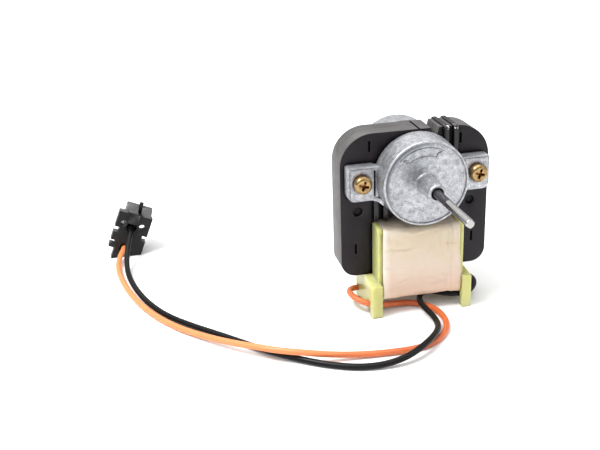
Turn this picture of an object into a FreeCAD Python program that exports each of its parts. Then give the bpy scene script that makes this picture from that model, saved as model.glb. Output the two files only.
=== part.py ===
import FreeCAD, Part
import Sketcher
import math
import os
import re

# Shaded-pole fan motor. The shaft points to -Y, +X is to the right and +Z is up.
# Every piece is drawn with y = 0 on the front face of the core, then moved back by originShift,
# so that the origin is under the middle of the motor, on the surface that its feet stand on.

doc = FreeCAD.newDocument("FanMotor")
sheet = doc.addObject("Spreadsheet::Sheet", "Sizes")

sizes = [
    ("frameWidth", 60.0, "width of the laminated core"),
    ("stackDepth", 12.7, "depth of the lamination stack"),
    ("legBottom", 14.4, "height of the leg ends above the floor"),
    ("shaftHeight", 55.0, "height of the shaft axis above the floor"),
    ("poleRise", 17.5, "distance from the shaft axis to the outer edge of each pole arm"),
    ("windowWidth", 33.2, "width between the legs"),
    ("topFlat", 17.0, "distance from the middle to the start of the upper core corners"),
    ("bottomCorner", 6.0, "radius of the leg ends' outer corners"),
    ("poleInset", 3.7, "how far the bore's side lies inside the window's side"),
    ("slotRise", 7.2, "height of the shading slot from the shaft axis"),
    ("slotOver", 0.6, "how far the shading slot runs past the window's side"),
    ("stripWidth", 2.0, "width of a shading ring's copper strip"),
    ("stripThickness", 1.3, "thickness of that strip"),
    ("stripGap", 0.1, "clearance of the strip in its slot and seat"),
    ("ringSpacing", 3.8, "distance between the two shading rings of a pole"),
    ("ringInset", 0.6, "how far the outer shading ring lies inside the window's side"),
    ("ringProud", 1.5, "how far the rings stand out of the core faces"),
    ("seatDepth", 0.8, "depth of the ring seats in the outer edge of a pole arm"),
    ("notchLeft", 6.2, "near side of the open notch at its mouth"),
    ("notchRight", 9.5, "far side of the open notch at its mouth"),
    ("notchFootLeft", 7.4, "near side of the notch at its bottom"),
    ("notchFootRight", 8.1, "far side of the notch at its bottom"),
    ("notchOver", 1.0, "how far the notch reaches below the top of the bore"),
    ("grooveLeft", 1.2, "near side of the small groove in the top edge"),
    ("grooveWidth", 0.8, "width of that groove"),
    ("grooveDepth", 0.9, "depth of that groove"),
    ("dimpleRadius", 2.0, "radius of the round dimples in the legs"),
    ("legShift", 0.3, "how far screws and dimples lie inside the middle of a leg"),
    ("dimpleDrop", 13.7, "distance of the dimples below the shaft axis"),
    ("dimpleDepth", 1.5, "depth of the dimples"),
    ("markDepth", 0.9, "depth of the interlock marks"),
    ("markWidth", 0.9, "width of an interlock mark"),
    ("markLength", 4.2, "length of an interlock mark"),
    ("markLowRise", 11.4, "height of the lower interlock marks above the leg ends"),
    ("markLowShift", 1.1, "how far the lower interlock marks lie outside the dimples"),
    ("markTopDrop", 5.1, "distance of the upper interlock marks below the top edge"),
    ("markTopShift", 2.3, "how far the upper interlock marks lie outside the shading rings"),
    ("coilFloor", 6.4, "height of the underside of the coil"),
    ("coilTopGap", 1.7, "gap between the coil and the pole arms"),
    ("yokeHeight", 10.4, "height of the yoke bar that the coil sits on"),
    ("fitGap", 0.05, "clearance of pieces that are pressed or slid together"),
    ("bobbinWall", 1.1, "wall of the bobbin's tube"),
    ("bobbinGap", 0.1, "clearance of the bobbin between the legs"),
    ("flangeThickness", 1.1, "thickness of the bobbin flanges between the legs"),
    ("flangeOver", 0.85, "how far the flanges lap over the leg faces"),
    ("flangeReach", 8.3, "how far the flanges stand out of the core faces"),
    ("flangeLap", 0.4, "how far the flanges reach below the coil"),
    ("flangeTopGap", 1.1, "gap between the flanges and the pole arms"),
    ("footWidth", 4.2, "width of the left foot plate"),
    ("footWidthRight", 3.5, "width of the right foot plate"),
    ("footFront", 11.3, "how far the feet reach forward of the core"),
    ("footPad", 3.4, "length of the front and rear pads of a foot"),
    ("archHeight", 1.5, "height of the arch under a foot"),
    ("shoulderDepth", 5.0, "depth of the web between flange and foot"),
    ("footSlope", 0.8, "fall of a foot's top edge towards its front"),
    ("leadSlotY", 6.2, "distance of the lead slot in front of the core"),
    ("leadSlotWidth", 3.6, "width of the lead slot"),
    ("leadSlotTop", 6.0, "height of the lead slot"),
    ("leadHoleY", 10.0, "distance of the lead hole behind the core's front face"),
    ("leadHoleZ", 4.2, "height of the lead hole"),
    ("leadHoleRadius", 1.5, "radius of the lead hole"),
    ("coilReach", 8.0, "winding build in front of and behind the bobbin's tube"),
    ("coilCorner", 1.9, "corner radius of the winding"),
    ("coilGap", 0.15, "clearance between the winding and the flanges"),
    ("tapeThickness", 0.6, "thickness of the tape round the winding"),
    ("bellStandoff", 1.9, "gap between the core face and the mouth of a bracket's bell"),
    ("bellDepth", 13.6, "height of a bell above the core face"),
    ("bellBase", 17.25, "outer radius of a bell at its mouth"),
    ("bellTaper", 0.6, "how much narrower a bell is at its face than at its mouth"),
    ("bellWall", 1.6, "side wall of a bell"),
    ("faceWall", 1.8, "end wall of a bell"),
    ("rimLip", 0.8, "width of the raised lip at the rim"),
    ("faceRecess", 0.8, "how far the face of a bell lies inside its lip"),
    ("lipRound", 0.25, "rounding of the lip's inner edge"),
    ("rimRound", 0.5, "rounding of the rim"),
    ("noseFoot", 3.8, "radius of the front bracket's nose where it leaves the face"),
    ("noseRadius", 3.4, "radius of the nose at its tip"),
    ("noseTip", 25.2, "distance of the nose tip in front of the core"),
    ("noseBore", 2.4, "radius of the hole in the nose"),
    ("noseFillet", 0.9, "fillet at the foot of the nose"),
    ("noseChamfer", 0.4, "chamfer at the nose tip"),
    ("rearBossRadius", 6.4, "radius of the rear bracket's closed boss"),
    ("rearBossRise", 2.4, "height of that boss"),
    ("bossRadius", 7.2, "radius of the bearing boss inside a bell"),
    ("bossEnd", 5.6, "distance of the boss's open end from the core"),
    ("bearingRadius", 3.6, "outer radius of the sleeve bearings"),
    ("bearingStart", 5.7, "distance of a bearing's inner end from the core"),
    ("bearingInset", 0.5, "distance of a bearing's outer end inside the face of its bell"),
    ("feltRadius", 5.6, "outer radius of the oil felt"),
    ("feltStop", 10.4, "distance of the felt's outer end from the core"),
    ("retainerThickness", 0.5, "thickness of the bearing retainers"),
    ("retainerBore", 3.5, "radius of the hole in a retainer"),
    ("earGap", 0.15, "gap between the ears and the bell's mouth"),
    ("earInset", 1.7, "how far the ears stop inside the core's side"),
    ("earRise", 6.1, "top of the ears above the shaft axis"),
    ("earFall", 7.4, "underside of the ears below the shaft axis"),
    ("earThickness", 5.2, "thickness of the ears"),
    ("earCorner", 2.8, "radius of the ears' lower outer corners"),
    ("earTopCorner", 0.8, "radius of the ears' upper outer corners"),
    ("bridgeSink", 1.35, "how far the bridges between ears and bell run into the bell"),
    ("padNear", 4.7, "how far the screw pads reach inwards from the screws"),
    ("padInset", 0.9, "width of the border outside the screw pads"),
    ("padRise", 0.6, "height of the screw pad"),
    ("padMargin", 0.8, "margin above the screw pad"),
    ("pocketWall", 0.1, "wall between that pocket and the screw pad"),
    ("pocketDepth", 3.4, "depth of the pocket between ear and bell"),
    ("pocketLip", 1.6, "width of the lips above and below that pocket"),
    ("screwRadius", 1.75, "radius of the screw shanks"),
    ("screwClearance", 0.15, "clearance of the screws in ear and core"),
    ("screwHeadRadius", 3.5, "radius of the pan heads"),
    ("screwHeadHeight", 3.4, "height of the pan heads"),
    ("screwHeadRound", 1.3, "rounding of the pan heads"),
    ("screwTipGap", 0.6, "how far the screw tips stop inside the rear ears"),
    ("screwTurn", 18.0, "turn of the cross recesses in degrees"),
    ("recessLength", 3.9, "length of the cross recess"),
    ("recessWidth", 1.0, "width of the cross recess"),
    ("recessDepth", 1.9, "depth of the cross recess"),
    ("shaftRadius", 1.5875, "radius of the shaft, for an eighth of an inch"),
    ("tipReach", 55.8, "distance of the shaft tip in front of the core"),
    ("shaftRear", 14.2, "distance of the shaft's rear end behind the core"),
    ("shaftChamfer", 0.3, "chamfer of the shaft tip"),
    ("journalRadius", 1.75, "radius of the shaft inside the brackets"),
    ("shoulderReach", 0.2, "distance of the shaft's shoulder in front of the nose tip"),
    ("flatDepth", 0.35, "depth of the flat on the shaft"),
    ("flatLength", 15, "length of the flat from the tip"),
    ("flatTurn", 35.0, "turn of the flat from straight down in degrees"),
    ("runningGap", 0.03, "radial clearance of the shaft in its bearings"),
    ("airGap", 0.4, "air gap between rotor and core"),
    ("barRadius", 0.9, "radius of the rotor bars"),
    ("barInset", 1.7, "how deep the bars' middles lie in the rotor"),
    ("barCount", 14, "number of rotor bars"),
    ("endRingStep", 0.5, "how far the end rings stop inside the rotor's edge"),
    ("endRingWidth", 4.0, "width of the end rings"),
    ("endRingHeight", 2.6, "height of the end rings"),
    ("spacerRadius", 2.9, "outer radius of the rotor spacers"),
    ("spacerLength", 4.3, "length of the rotor spacers"),
    ("washerRadius", 3.2, "outer radius of the thrust washers"),
    ("washerThickness", 0.8, "thickness of the thrust washers"),
    ("spliceRadius", 1.3, "radius of the lead splices"),
    ("spliceCollar", 1.7, "radius of the collar at a splice's mouth"),
    ("spliceLength", 6.4, "length of the lead splices"),
    ("leadRadius", 1.2, "radius of the leads"),
    ("plugX", -111.0, "sideways place of the connector"),
    ("plugY", 80.0, "place of the connector's wire side behind the core's front face"),
    ("plugZ", 11.25, "height of the connector's middle"),
    ("plugRoll", 23.0, "roll of the connector in degrees"),
    ("plugWidth", 6.8, "width of the connector's body"),
    ("plugHeight", 20.8, "height of the connector's body"),
    ("plugDepth", 15.0, "depth of the connector's body"),
    ("plugWing", 7.8, "half width over the latch wings"),
    ("wingShift", 0.4, "how far the wings lie to the right of the wire entries"),
    ("wingDepth", 4.0, "depth of the latch wings"),
    ("wingTop", 9.8, "top of the latch wings above the middle"),
    ("wingBottom", 8.4, "bottom of the latch wings below the middle"),
    ("windowAcross", 4.3, "distance of the round windows from the wings' middle"),
    ("windowRise", 4.4, "height of the round windows above the middle"),
    ("windowRadius", 1.45, "radius of the round windows"),
    ("cutLength", 2.2, "length of the square cut-outs in the wings"),
    ("cutHeight", 2.6, "height of the square cut-outs"),
    ("cutLeft", -0.6, "underside of the left cut-out above the middle"),
    ("cutRight", -2.0, "underside of the right cut-out above the middle"),
    ("cutLow", -6.6, "underside of the second left cut-out above the middle"),
    ("cutLowHeight", 1.9, "height of the second left cut-out"),
    ("upperCircuit", 3.4, "height of the upper circuit above the middle"),
    ("lowerCircuit", 7.3, "depth of the lower circuit below the middle"),
    ("entryRadius", 2.4, "radius of the wire entries"),
    ("entryDepth", 3.0, "depth of the wire entries"),
    ("wireBore", 1.5, "radius of the wire bores behind the entries"),
    ("cavityWidth", 4.4, "width of a contact cavity"),
    ("cavityStart", 5.0, "distance of the cavities from the wire side"),
    ("hoodLeft", -4.2, "left side of the cap on top of the connector"),
    ("hoodRight", 7.7, "right side of that cap"),
    ("hoodTop", 12.3, "top of that cap above the middle"),
    ("hoodDepth", 9.0, "length of that cap"),
    ("hoodSlope", 6.0, "length of the cap's sloping front"),
    ("hoodBottom", 6.6, "underside of that cap above the middle"),
    ("keyWidth", 1.7, "width of the keying slot in the cap and of the rib behind it"),
    ("keyOffset", 1.2, "sideways place of the keying slot"),
    ("keyRise", 1.9, "how far the rib stands above the cap"),
    ("keyLength", 1.6, "length of that rib"),
    ("keyDepth", 3.2, "depth of the keying slot"),
    ("wedgeReach", 2.6, "how far the wedge above the upper entry stands forward"),
    ("wedgeWidth", 4.6, "width of that wedge"),
    ("soleGap", 0.25, "clearance between the connector's sole and the floor"),
    ("contactLength", 8.6, "length of the contacts"),
    ("contactWidth", 3.4, "width of the contact boxes"),
    ("contactSlot", 2.2, "width of the opening in a contact box"),
]

sheet.set("A1", "size")
sheet.set("B1", "value")
sheet.set("C1", "meaning")
for row, (alias, value, meaning) in enumerate(sizes, start=2):
    sheet.set("A%d" % row, alias)
    sheet.set("B%d" % row, str(value))
    sheet.setAlias("B%d" % row, alias)
    sheet.set("C%d" % row, meaning)
doc.recompute()

# Measures that follow from the sizes, so that touching pieces keep together

measures = doc.addObject("App::FeaturePython", "Measures")
followed = [
    ("originShift", "(tipReach - stackDepth - bellDepth - rearBossRise) / 2"),
    ("topEdge", "shaftHeight + poleRise"),
    ("armEdge", "shaftHeight - poleRise"),
    ("topCorner", "frameWidth / 2 - topFlat"),
    ("boreRadius", "windowWidth / 2 - poleInset"),
    ("slotReach", "windowWidth / 2 + slotOver"),
    ("ringFar", "windowWidth / 2 - ringInset"),
    ("ringNear", "ringFar - ringSpacing"),
    ("notchDepth", "poleRise - boreRadius + notchOver"),
    ("legMiddle", "(frameWidth + windowWidth) / 4 - legShift"),
    ("coilHalfHeight", "(armEdge - coilTopGap - coilFloor) / 2"),
    ("yokeCentre", "coilFloor + coilHalfHeight"),
    ("coilRise", "coilHalfHeight - yokeHeight / 2 - bobbinWall - tapeThickness - 2 * fitGap"),
    ("bobbinHalf", "windowWidth / 2 - bobbinGap"),
    ("coilHalf", "bobbinHalf - flangeThickness - coilGap"),
    ("flangeTop", "armEdge - flangeTopGap"),
    ("flangeBottom", "coilFloor - flangeLap"),
    ("footInner", "windowWidth / 2"),
    ("bellRim", "bellBase - bellTaper"),
    ("bellFace", "bellDepth - faceRecess"),
    ("bearingStop", "bellFace - bearingInset"),
    ("earInner", "bellBase + earGap"),
    ("earOuter", "frameWidth / 2 - earInset"),
    ("bridgeInner", "bellBase - bridgeSink"),
    ("padInner", "legMiddle - padNear"),
    ("padOuter", "earOuter - padInset"),
    ("pocketOuter", "padInner - pocketWall"),
    ("rotorRadius", "boreRadius - airGap"),
    ("barCircle", "rotorRadius - barInset"),
    ("endRingOuter", "rotorRadius - endRingStep"),
    ("endRingInner", "endRingOuter - endRingWidth"),
]
homes = {alias: "Sizes." for alias, value, meaning in sizes}
floorPoint = FreeCAD.Vector(0, 0, 0)
upward = FreeCAD.Vector(0, 0, 1)


def bound(text):
    """The same formula with each name read from the object that holds it."""
    return re.sub(r"[A-Za-z]\w+", lambda word: homes.get(word.group(), "") + word.group(), text)


def bind(item, prop, text):
    item.setExpression(prop, bound(text))


for name, formula in followed:
    measures.addProperty("App::PropertyFloat", name)
    bind(measures, name, formula)
    homes[name] = "Measures."
doc.recompute()


def size(name):
    return float(getattr(sheet if homes[name] == "Sizes." else measures, name))


# Sketches and features

def body(label, x="0", y="0", z="0", axis=None, angle="0"):
    item = doc.addObject("PartDesign::Body", label)
    item.Label = label
    bind(item, "Placement.Base.x", x)
    bind(item, "Placement.Base.y", "originShift + " + y)
    bind(item, "Placement.Base.z", z)
    if axis is not None:
        item.Placement = FreeCAD.Placement(floorPoint, FreeCAD.Rotation(axis, 1))
        bind(item, "Placement.Rotation.Angle", angle)
    return item


def sketch(item, role, offset="0", rise="0", across="0"):
    """A sketch on one of the body's planes: XZ_Plane looks along +Y, YZ_Plane has y across and z up."""
    plane = next(plane for plane in item.Origin.OriginFeatures if plane.Role == role)
    drawing = item.newObject("Sketcher::SketchObject", item.Label + "_sketch")
    drawing.AttachmentSupport = [(plane, "")]
    drawing.MapMode = "FlatFace"
    bind(drawing, "AttachmentOffset.Base.x", across)
    bind(drawing, "AttachmentOffset.Base.y", rise)
    bind(drawing, "AttachmentOffset.Base.z", offset)
    return drawing


def dimension(drawing, kind, values, text):
    index = drawing.addConstraint(Sketcher.Constraint(kind, *values, 1.0))
    drawing.setExpression("Constraints[%d]" % index, bound(text))


def polygon(drawing, corners):
    """A closed outline whose corners are given as formulas."""
    first = drawing.GeometryCount
    count = len(corners)
    turns = [math.tau * i / count for i in range(count)]
    ring = [FreeCAD.Vector(math.cos(turn), math.sin(turn), 0) for turn in turns]
    for i in range(count):
        drawing.addGeometry(Part.LineSegment(ring[i], ring[(i + 1) % count]), False)
    for i in range(count):
        drawing.addConstraint(Sketcher.Constraint("Coincident", first + i, 2, first + (i + 1) % count, 1))
    for i, (across, up) in enumerate(corners):
        dimension(drawing, "DistanceX", (-1, 1, first + i, 1), across)
        dimension(drawing, "DistanceY", (-1, 1, first + i, 1), up)


def rectangle(drawing, left, right, low, high):
    polygon(drawing, [(left, low), (right, low), (right, high), (left, high)])


def circle(drawing, radius, across="0", up="0"):
    index = drawing.addGeometry(Part.Circle(floorPoint, upward, 1.0), False)
    dimension(drawing, "Radius", (index,), radius)
    dimension(drawing, "DistanceX", (-1, 1, index, 3), across)
    dimension(drawing, "DistanceY", (-1, 1, index, 3), up)


def pad(item, drawing, length, reverse=False):
    feature = item.newObject("PartDesign::Pad", item.Label + "_pad")
    feature.Profile = drawing
    feature.Reversed = reverse
    bind(feature, "Length", length)
    doc.recompute()
    return feature


def pocket(item, drawing, length=None, reverse=False):
    before = item.Shape.Volume
    feature = item.newObject("PartDesign::Pocket", item.Label + "_pocket")
    feature.Profile = drawing
    feature.Reversed = reverse
    if length is None:
        feature.Type = "ThroughAll"
    else:
        bind(feature, "Length", length)
    doc.recompute()
    if not item.Shape.Volume < before:
        raise RuntimeError("a pocket of %s cuts nothing" % item.Label)
    return feature


def revolve(item, drawing, axis="H_Axis"):
    feature = item.newObject("PartDesign::Revolution", item.Label + "_turning")
    feature.Profile = drawing
    feature.ReferenceAxis = (drawing, [axis])
    feature.Angle = 360.0
    doc.recompute()
    return feature


def dress(item, kind, prop, amount, test):
    """A fillet or chamfer on the edges of the body's last feature that pass the test."""
    last = item.Tip
    chosen = ["Edge%d" % (i + 1) for i, edge in enumerate(last.Shape.Edges) if test(edge)]
    if not chosen:
        raise RuntimeError("no edge to dress on %s" % item.Label)
    feature = item.newObject(kind, item.Label + "_edges")
    feature.Base = (last, chosen)
    bind(feature, prop, amount)
    doc.recompute()
    return feature


def fillet(item, radius, test):
    return dress(item, "PartDesign::Fillet", "Radius", radius, test)


def chamfer(item, amount, test):
    return dress(item, "PartDesign::Chamfer", "Size", amount, test)


def lies_along(edge, direction):
    """True for a straight edge along the given axis."""
    if not isinstance(edge.Curve, Part.Line):
        return False
    return abs(abs(edge.Curve.Direction.dot(direction)) - 1) < 1e-6


def corner(direction, first, second):
    """A test for straight edges along an axis whose other two coordinates have the given values."""
    def test(edge):
        if not lies_along(edge, direction):
            return False
        at = edge.Vertexes[0].Point
        other = [value for value, part in zip(at, direction) if abs(part) < 0.5]
        return any(abs(other[0] - a) < 1e-4 and abs(other[1] - b) < 1e-4 for a in first for b in second)
    return test


def rim(radius, y):
    """A test for round edges about the Y axis with the given radius and place."""
    def test(edge):
        curve = edge.Curve
        if not isinstance(curve, Part.Circle):
            return False
        return abs(curve.Radius - radius) < 1e-4 and abs(curve.Center.y - y) < 1e-4
    return test


alongX = FreeCAD.Vector(1, 0, 0)
alongY = FreeCAD.Vector(0, 1, 0)


def tube(label, outer, inner, start, length, height="shaftHeight"):
    """A plain ring or sleeve about the shaft axis, from start towards the rear."""
    item = body(label, z=height)
    drawing = sketch(item, "XZ_Plane", offset="-(%s)" % start)
    circle(drawing, outer)
    circle(drawing, inner)
    pad(item, drawing, length, reverse=True)
    return item


def flipped(points):
    """The same outline half a turn round the shaft axis."""
    return [("-(%s)" % across, "2 * shaftHeight - (%s)" % up) for across, up in points]


# Core: one C-shaped stack with pole arms round the bore, and the yoke bar between its legs

core = body("stator_core")
drawing = sketch(core, "XZ_Plane")
polygon(drawing, [
    ("-frameWidth / 2", "legBottom"),
    ("-windowWidth / 2", "legBottom"),
    ("-windowWidth / 2", "armEdge"),
    ("windowWidth / 2", "armEdge"),
    ("windowWidth / 2", "legBottom"),
    ("frameWidth / 2", "legBottom"),
    ("frameWidth / 2", "topEdge"),
    ("-frameWidth / 2", "topEdge"),
])
pad(core, drawing, "stackDepth", reverse=True)
halfWidth = size("frameWidth") / 2
fillet(core, "topCorner", corner(alongY, (-halfWidth, halfWidth), (size("topEdge"),)))
fillet(core, "bottomCorner", corner(alongY, (-halfWidth, halfWidth), (size("legBottom"),)))

drawing = sketch(core, "XZ_Plane")
circle(drawing, "boreRadius", "0", "shaftHeight")
for side in ("-", ""):
    circle(drawing, "screwRadius + screwClearance", side + "legMiddle", "shaftHeight")
pocket(core, drawing)

slot = [
    ("boreRadius / 2", "shaftHeight + slotRise - stripThickness / 2 - stripGap"),
    ("slotReach", "shaftHeight + slotRise - stripThickness / 2 - stripGap"),
    ("slotReach", "shaftHeight + slotRise + stripThickness / 2 + stripGap"),
    ("boreRadius / 2", "shaftHeight + slotRise + stripThickness / 2 + stripGap"),
]
notch = [
    ("notchLeft", "topEdge"),
    ("notchFootLeft", "topEdge - notchDepth"),
    ("notchFootRight", "topEdge - notchDepth"),
    ("notchRight", "topEdge"),
    ("notchRight", "topEdge + 1"),
    ("notchLeft", "topEdge + 1"),
]
groove = [
    ("grooveLeft", "topEdge - grooveDepth"),
    ("grooveLeft + grooveWidth", "topEdge - grooveDepth"),
    ("grooveLeft + grooveWidth", "topEdge + 1"),
    ("grooveLeft", "topEdge + 1"),
]
cuts = [slot, flipped(slot), notch, flipped(notch), groove]
for place in ("ringNear", "ringFar"):
    seat = [
        (place + " - stripWidth / 2 - stripGap", "topEdge - seatDepth"),
        (place + " + stripWidth / 2 + stripGap", "topEdge - seatDepth"),
        (place + " + stripWidth / 2 + stripGap", "topEdge + 1"),
        (place + " - stripWidth / 2 - stripGap", "topEdge + 1"),
    ]
    cuts += [seat, flipped(seat)]
drawing = sketch(core, "XZ_Plane")
for outline in cuts:
    polygon(drawing, outline)
pocket(core, drawing)

drawing = sketch(core, "XZ_Plane")
for side in ("-", ""):
    circle(drawing, "dimpleRadius", side + "legMiddle", "shaftHeight - dimpleDrop")
pocket(core, drawing, "dimpleDepth")
drawing = sketch(core, "XZ_Plane")
for side in ("-", ""):
    for across, up in (("(legMiddle + markLowShift)", "legBottom + markLowRise"),
                       ("(ringFar + markTopShift)", "topEdge - markTopDrop")):
        rectangle(drawing, side + across + " - markWidth / 2", side + across + " + markWidth / 2",
                  up + " - markLength / 2", up + " + markLength / 2")
pocket(core, drawing, "markDepth")

yoke = body("coil_yoke")
drawing = sketch(yoke, "XZ_Plane")
rectangle(drawing, "-windowWidth / 2", "windowWidth / 2", "yokeCentre - yokeHeight / 2",
          "yokeCentre + yokeHeight / 2")
pad(yoke, drawing, "stackDepth", reverse=True)

# Shading rings: closed copper straps round the pole arms, two above and two below

for label, turned, place in (
    ("shading_ring_upper_inner", False, "ringNear"),
    ("shading_ring_upper_outer", False, "ringFar"),
    ("shading_ring_lower_inner", True, "ringNear"),
    ("shading_ring_lower_outer", True, "ringFar"),
):
    strap = body(label)
    low = "shaftHeight + slotRise - stripThickness / 2"
    high = "topEdge - seatDepth + stripThickness"
    if turned:
        low, high = "2 * shaftHeight - (%s)" % high, "2 * shaftHeight - (%s)" % low
        place = "-" + place
    drawing = sketch(strap, "YZ_Plane", offset=place + " - stripWidth / 2")
    rectangle(drawing, "-ringProud", "stackDepth + ringProud", low, high)
    rectangle(drawing, "-ringProud + stripThickness", "stackDepth + ringProud - stripThickness",
              low + " + stripThickness", high + " - stripThickness")
    pad(strap, drawing, "stripWidth")
    front = -size("ringProud")
    back = size("stackDepth") + size("ringProud")
    box = strap.Tip.Shape.BoundBox
    fillet(strap, "stripThickness - 2 * stripGap", corner(alongX, (front, back), (box.ZMin, box.ZMax)))

# Bobbin, winding and tape

tubeBottom = "yokeCentre - yokeHeight / 2 - bobbinWall"
tubeTop = "yokeCentre + yokeHeight / 2 + bobbinWall"

bobbin = body("bobbin")
drawing = sketch(bobbin, "YZ_Plane", offset="-bobbinHalf")
rectangle(drawing, "-bobbinWall", "stackDepth + bobbinWall", tubeBottom, tubeTop)
pad(bobbin, drawing, "2 * bobbinHalf")
for start in ("-bobbinHalf", "bobbinHalf - flangeThickness"):
    drawing = sketch(bobbin, "YZ_Plane", offset=start)
    rectangle(drawing, "-flangeReach", "stackDepth + flangeReach", "flangeBottom", "flangeTop")
    pad(bobbin, drawing, "flangeThickness")
for start in ("-footInner - flangeOver", "bobbinHalf - flangeThickness"):
    drawing = sketch(bobbin, "YZ_Plane", offset=start)
    rectangle(drawing, "-flangeReach", "-fitGap", "flangeBottom", "flangeTop")
    rectangle(drawing, "stackDepth + fitGap", "stackDepth + flangeReach", "flangeBottom", "flangeTop")
    pad(bobbin, drawing, "footInner + flangeOver - (bobbinHalf - flangeThickness)")
for start in ("-footInner", "bobbinHalf - flangeThickness"):
    drawing = sketch(bobbin, "YZ_Plane", offset=start)
    rectangle(drawing, "-flangeReach", "stackDepth", "legBottom - shoulderDepth", "legBottom")
    pad(bobbin, drawing, "footInner - (bobbinHalf - flangeThickness)")
for start, width in (("-footInner - footWidth", "footWidth"), ("footInner", "footWidthRight")):
    drawing = sketch(bobbin, "YZ_Plane", offset=start)
    polygon(drawing, [
        ("-footFront", "0"),
        ("-footFront + footPad", "0"),
        ("-leadSlotY - leadSlotWidth / 2", "archHeight"),
        ("-leadSlotY - leadSlotWidth / 2", "leadSlotTop"),
        ("-leadSlotY + leadSlotWidth / 2", "leadSlotTop"),
        ("-leadSlotY + leadSlotWidth / 2", "archHeight"),
        ("stackDepth - footPad - archHeight", "archHeight"),
        ("stackDepth - footPad", "0"),
        ("stackDepth", "0"),
        ("stackDepth", "legBottom"),
        ("0", "legBottom"),
        ("-footFront", "legBottom - footSlope"),
    ])
    pad(bobbin, drawing, width)
drawing = sketch(bobbin, "YZ_Plane")
rectangle(drawing, "-fitGap", "stackDepth + fitGap", "yokeCentre - yokeHeight / 2 - fitGap",
          "yokeCentre + yokeHeight / 2 + fitGap")
circle(drawing, "leadHoleRadius", "leadHoleY", "leadHoleZ")
cut = pocket(bobbin, drawing)
cut.SideType = "Two sides"
cut.Type = "ThroughAll"
cut.Type2 = "ThroughAll"
doc.recompute()
flangeFront = -size("flangeReach")
flangeBack = size("stackDepth") + size("flangeReach")
fillet(bobbin, "2 * bobbinWall", corner(alongX, (flangeFront, flangeBack), (size("flangeTop"),)))


def sleeve(label, inset, thicknessY, thicknessZ, radius):
    """A rounded sleeve round the bobbin's tube; inset is its distance from the tube."""
    item = body(label)
    drawing = sketch(item, "YZ_Plane", offset="-coilHalf")
    innerY = "bobbinWall + " + inset[0]
    innerZ = "yokeHeight / 2 + bobbinWall + " + inset[1]
    for growY, growZ in ((thicknessY, thicknessZ), ("0", "0")):
        rectangle(drawing, "-(%s + %s)" % (innerY, growY), "stackDepth + %s + %s" % (innerY, growY),
                  "yokeCentre - (%s + %s)" % (innerZ, growZ), "yokeCentre + (%s + %s)" % (innerZ, growZ))
    pad(item, drawing, "2 * coilHalf")
    box = item.Tip.Shape.BoundBox
    fillet(item, radius, corner(alongX, (box.YMin, box.YMax), (box.ZMin, box.ZMax)))
    return item


sleeve("coil_winding", ("fitGap", "fitGap"), "coilReach", "coilRise", "coilCorner")
tape = sleeve("coil_tape", ("coilReach + 2 * fitGap", "coilRise + 2 * fitGap"), "tapeThickness",
              "tapeThickness", "coilCorner + tapeThickness")
tapeFront = -size("bobbinWall") - size("coilReach") - 2 * size("fitGap")
tapeBack = size("stackDepth") - tapeFront
tapeHalf = size("yokeHeight") / 2 + size("bobbinWall") + size("coilRise") + 2 * size("fitGap")
fillet(tape, "coilCorner", corner(alongX, (tapeFront, tapeBack),
                                  (size("yokeCentre") - tapeHalf, size("yokeCentre") + tapeHalf)))

# Lead splices under the coil, butted on the inner faces of the feet

for label, angle in (("lead_splice_left", "0"), ("lead_splice_right", "180")):
    side = "-" if angle == "0" else ""
    splice = body(label, x=side + "footInner", y="leadHoleY", z="leadHoleZ", axis=upward, angle=angle)
    drawing = sketch(splice, "XZ_Plane")
    polygon(drawing, [
        ("0", "0"),
        ("0", "spliceCollar"),
        ("spliceLength / 8", "spliceCollar"),
        ("spliceLength / 5", "spliceRadius"),
        ("spliceLength - spliceLength / 8", "spliceRadius"),
        ("spliceLength", "spliceRadius * 2 / 3"),
        ("spliceLength", "0"),
    ])
    revolve(splice, drawing)

# Die-cast brackets: a bell with its bearing boss, and two ears on the core

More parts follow.
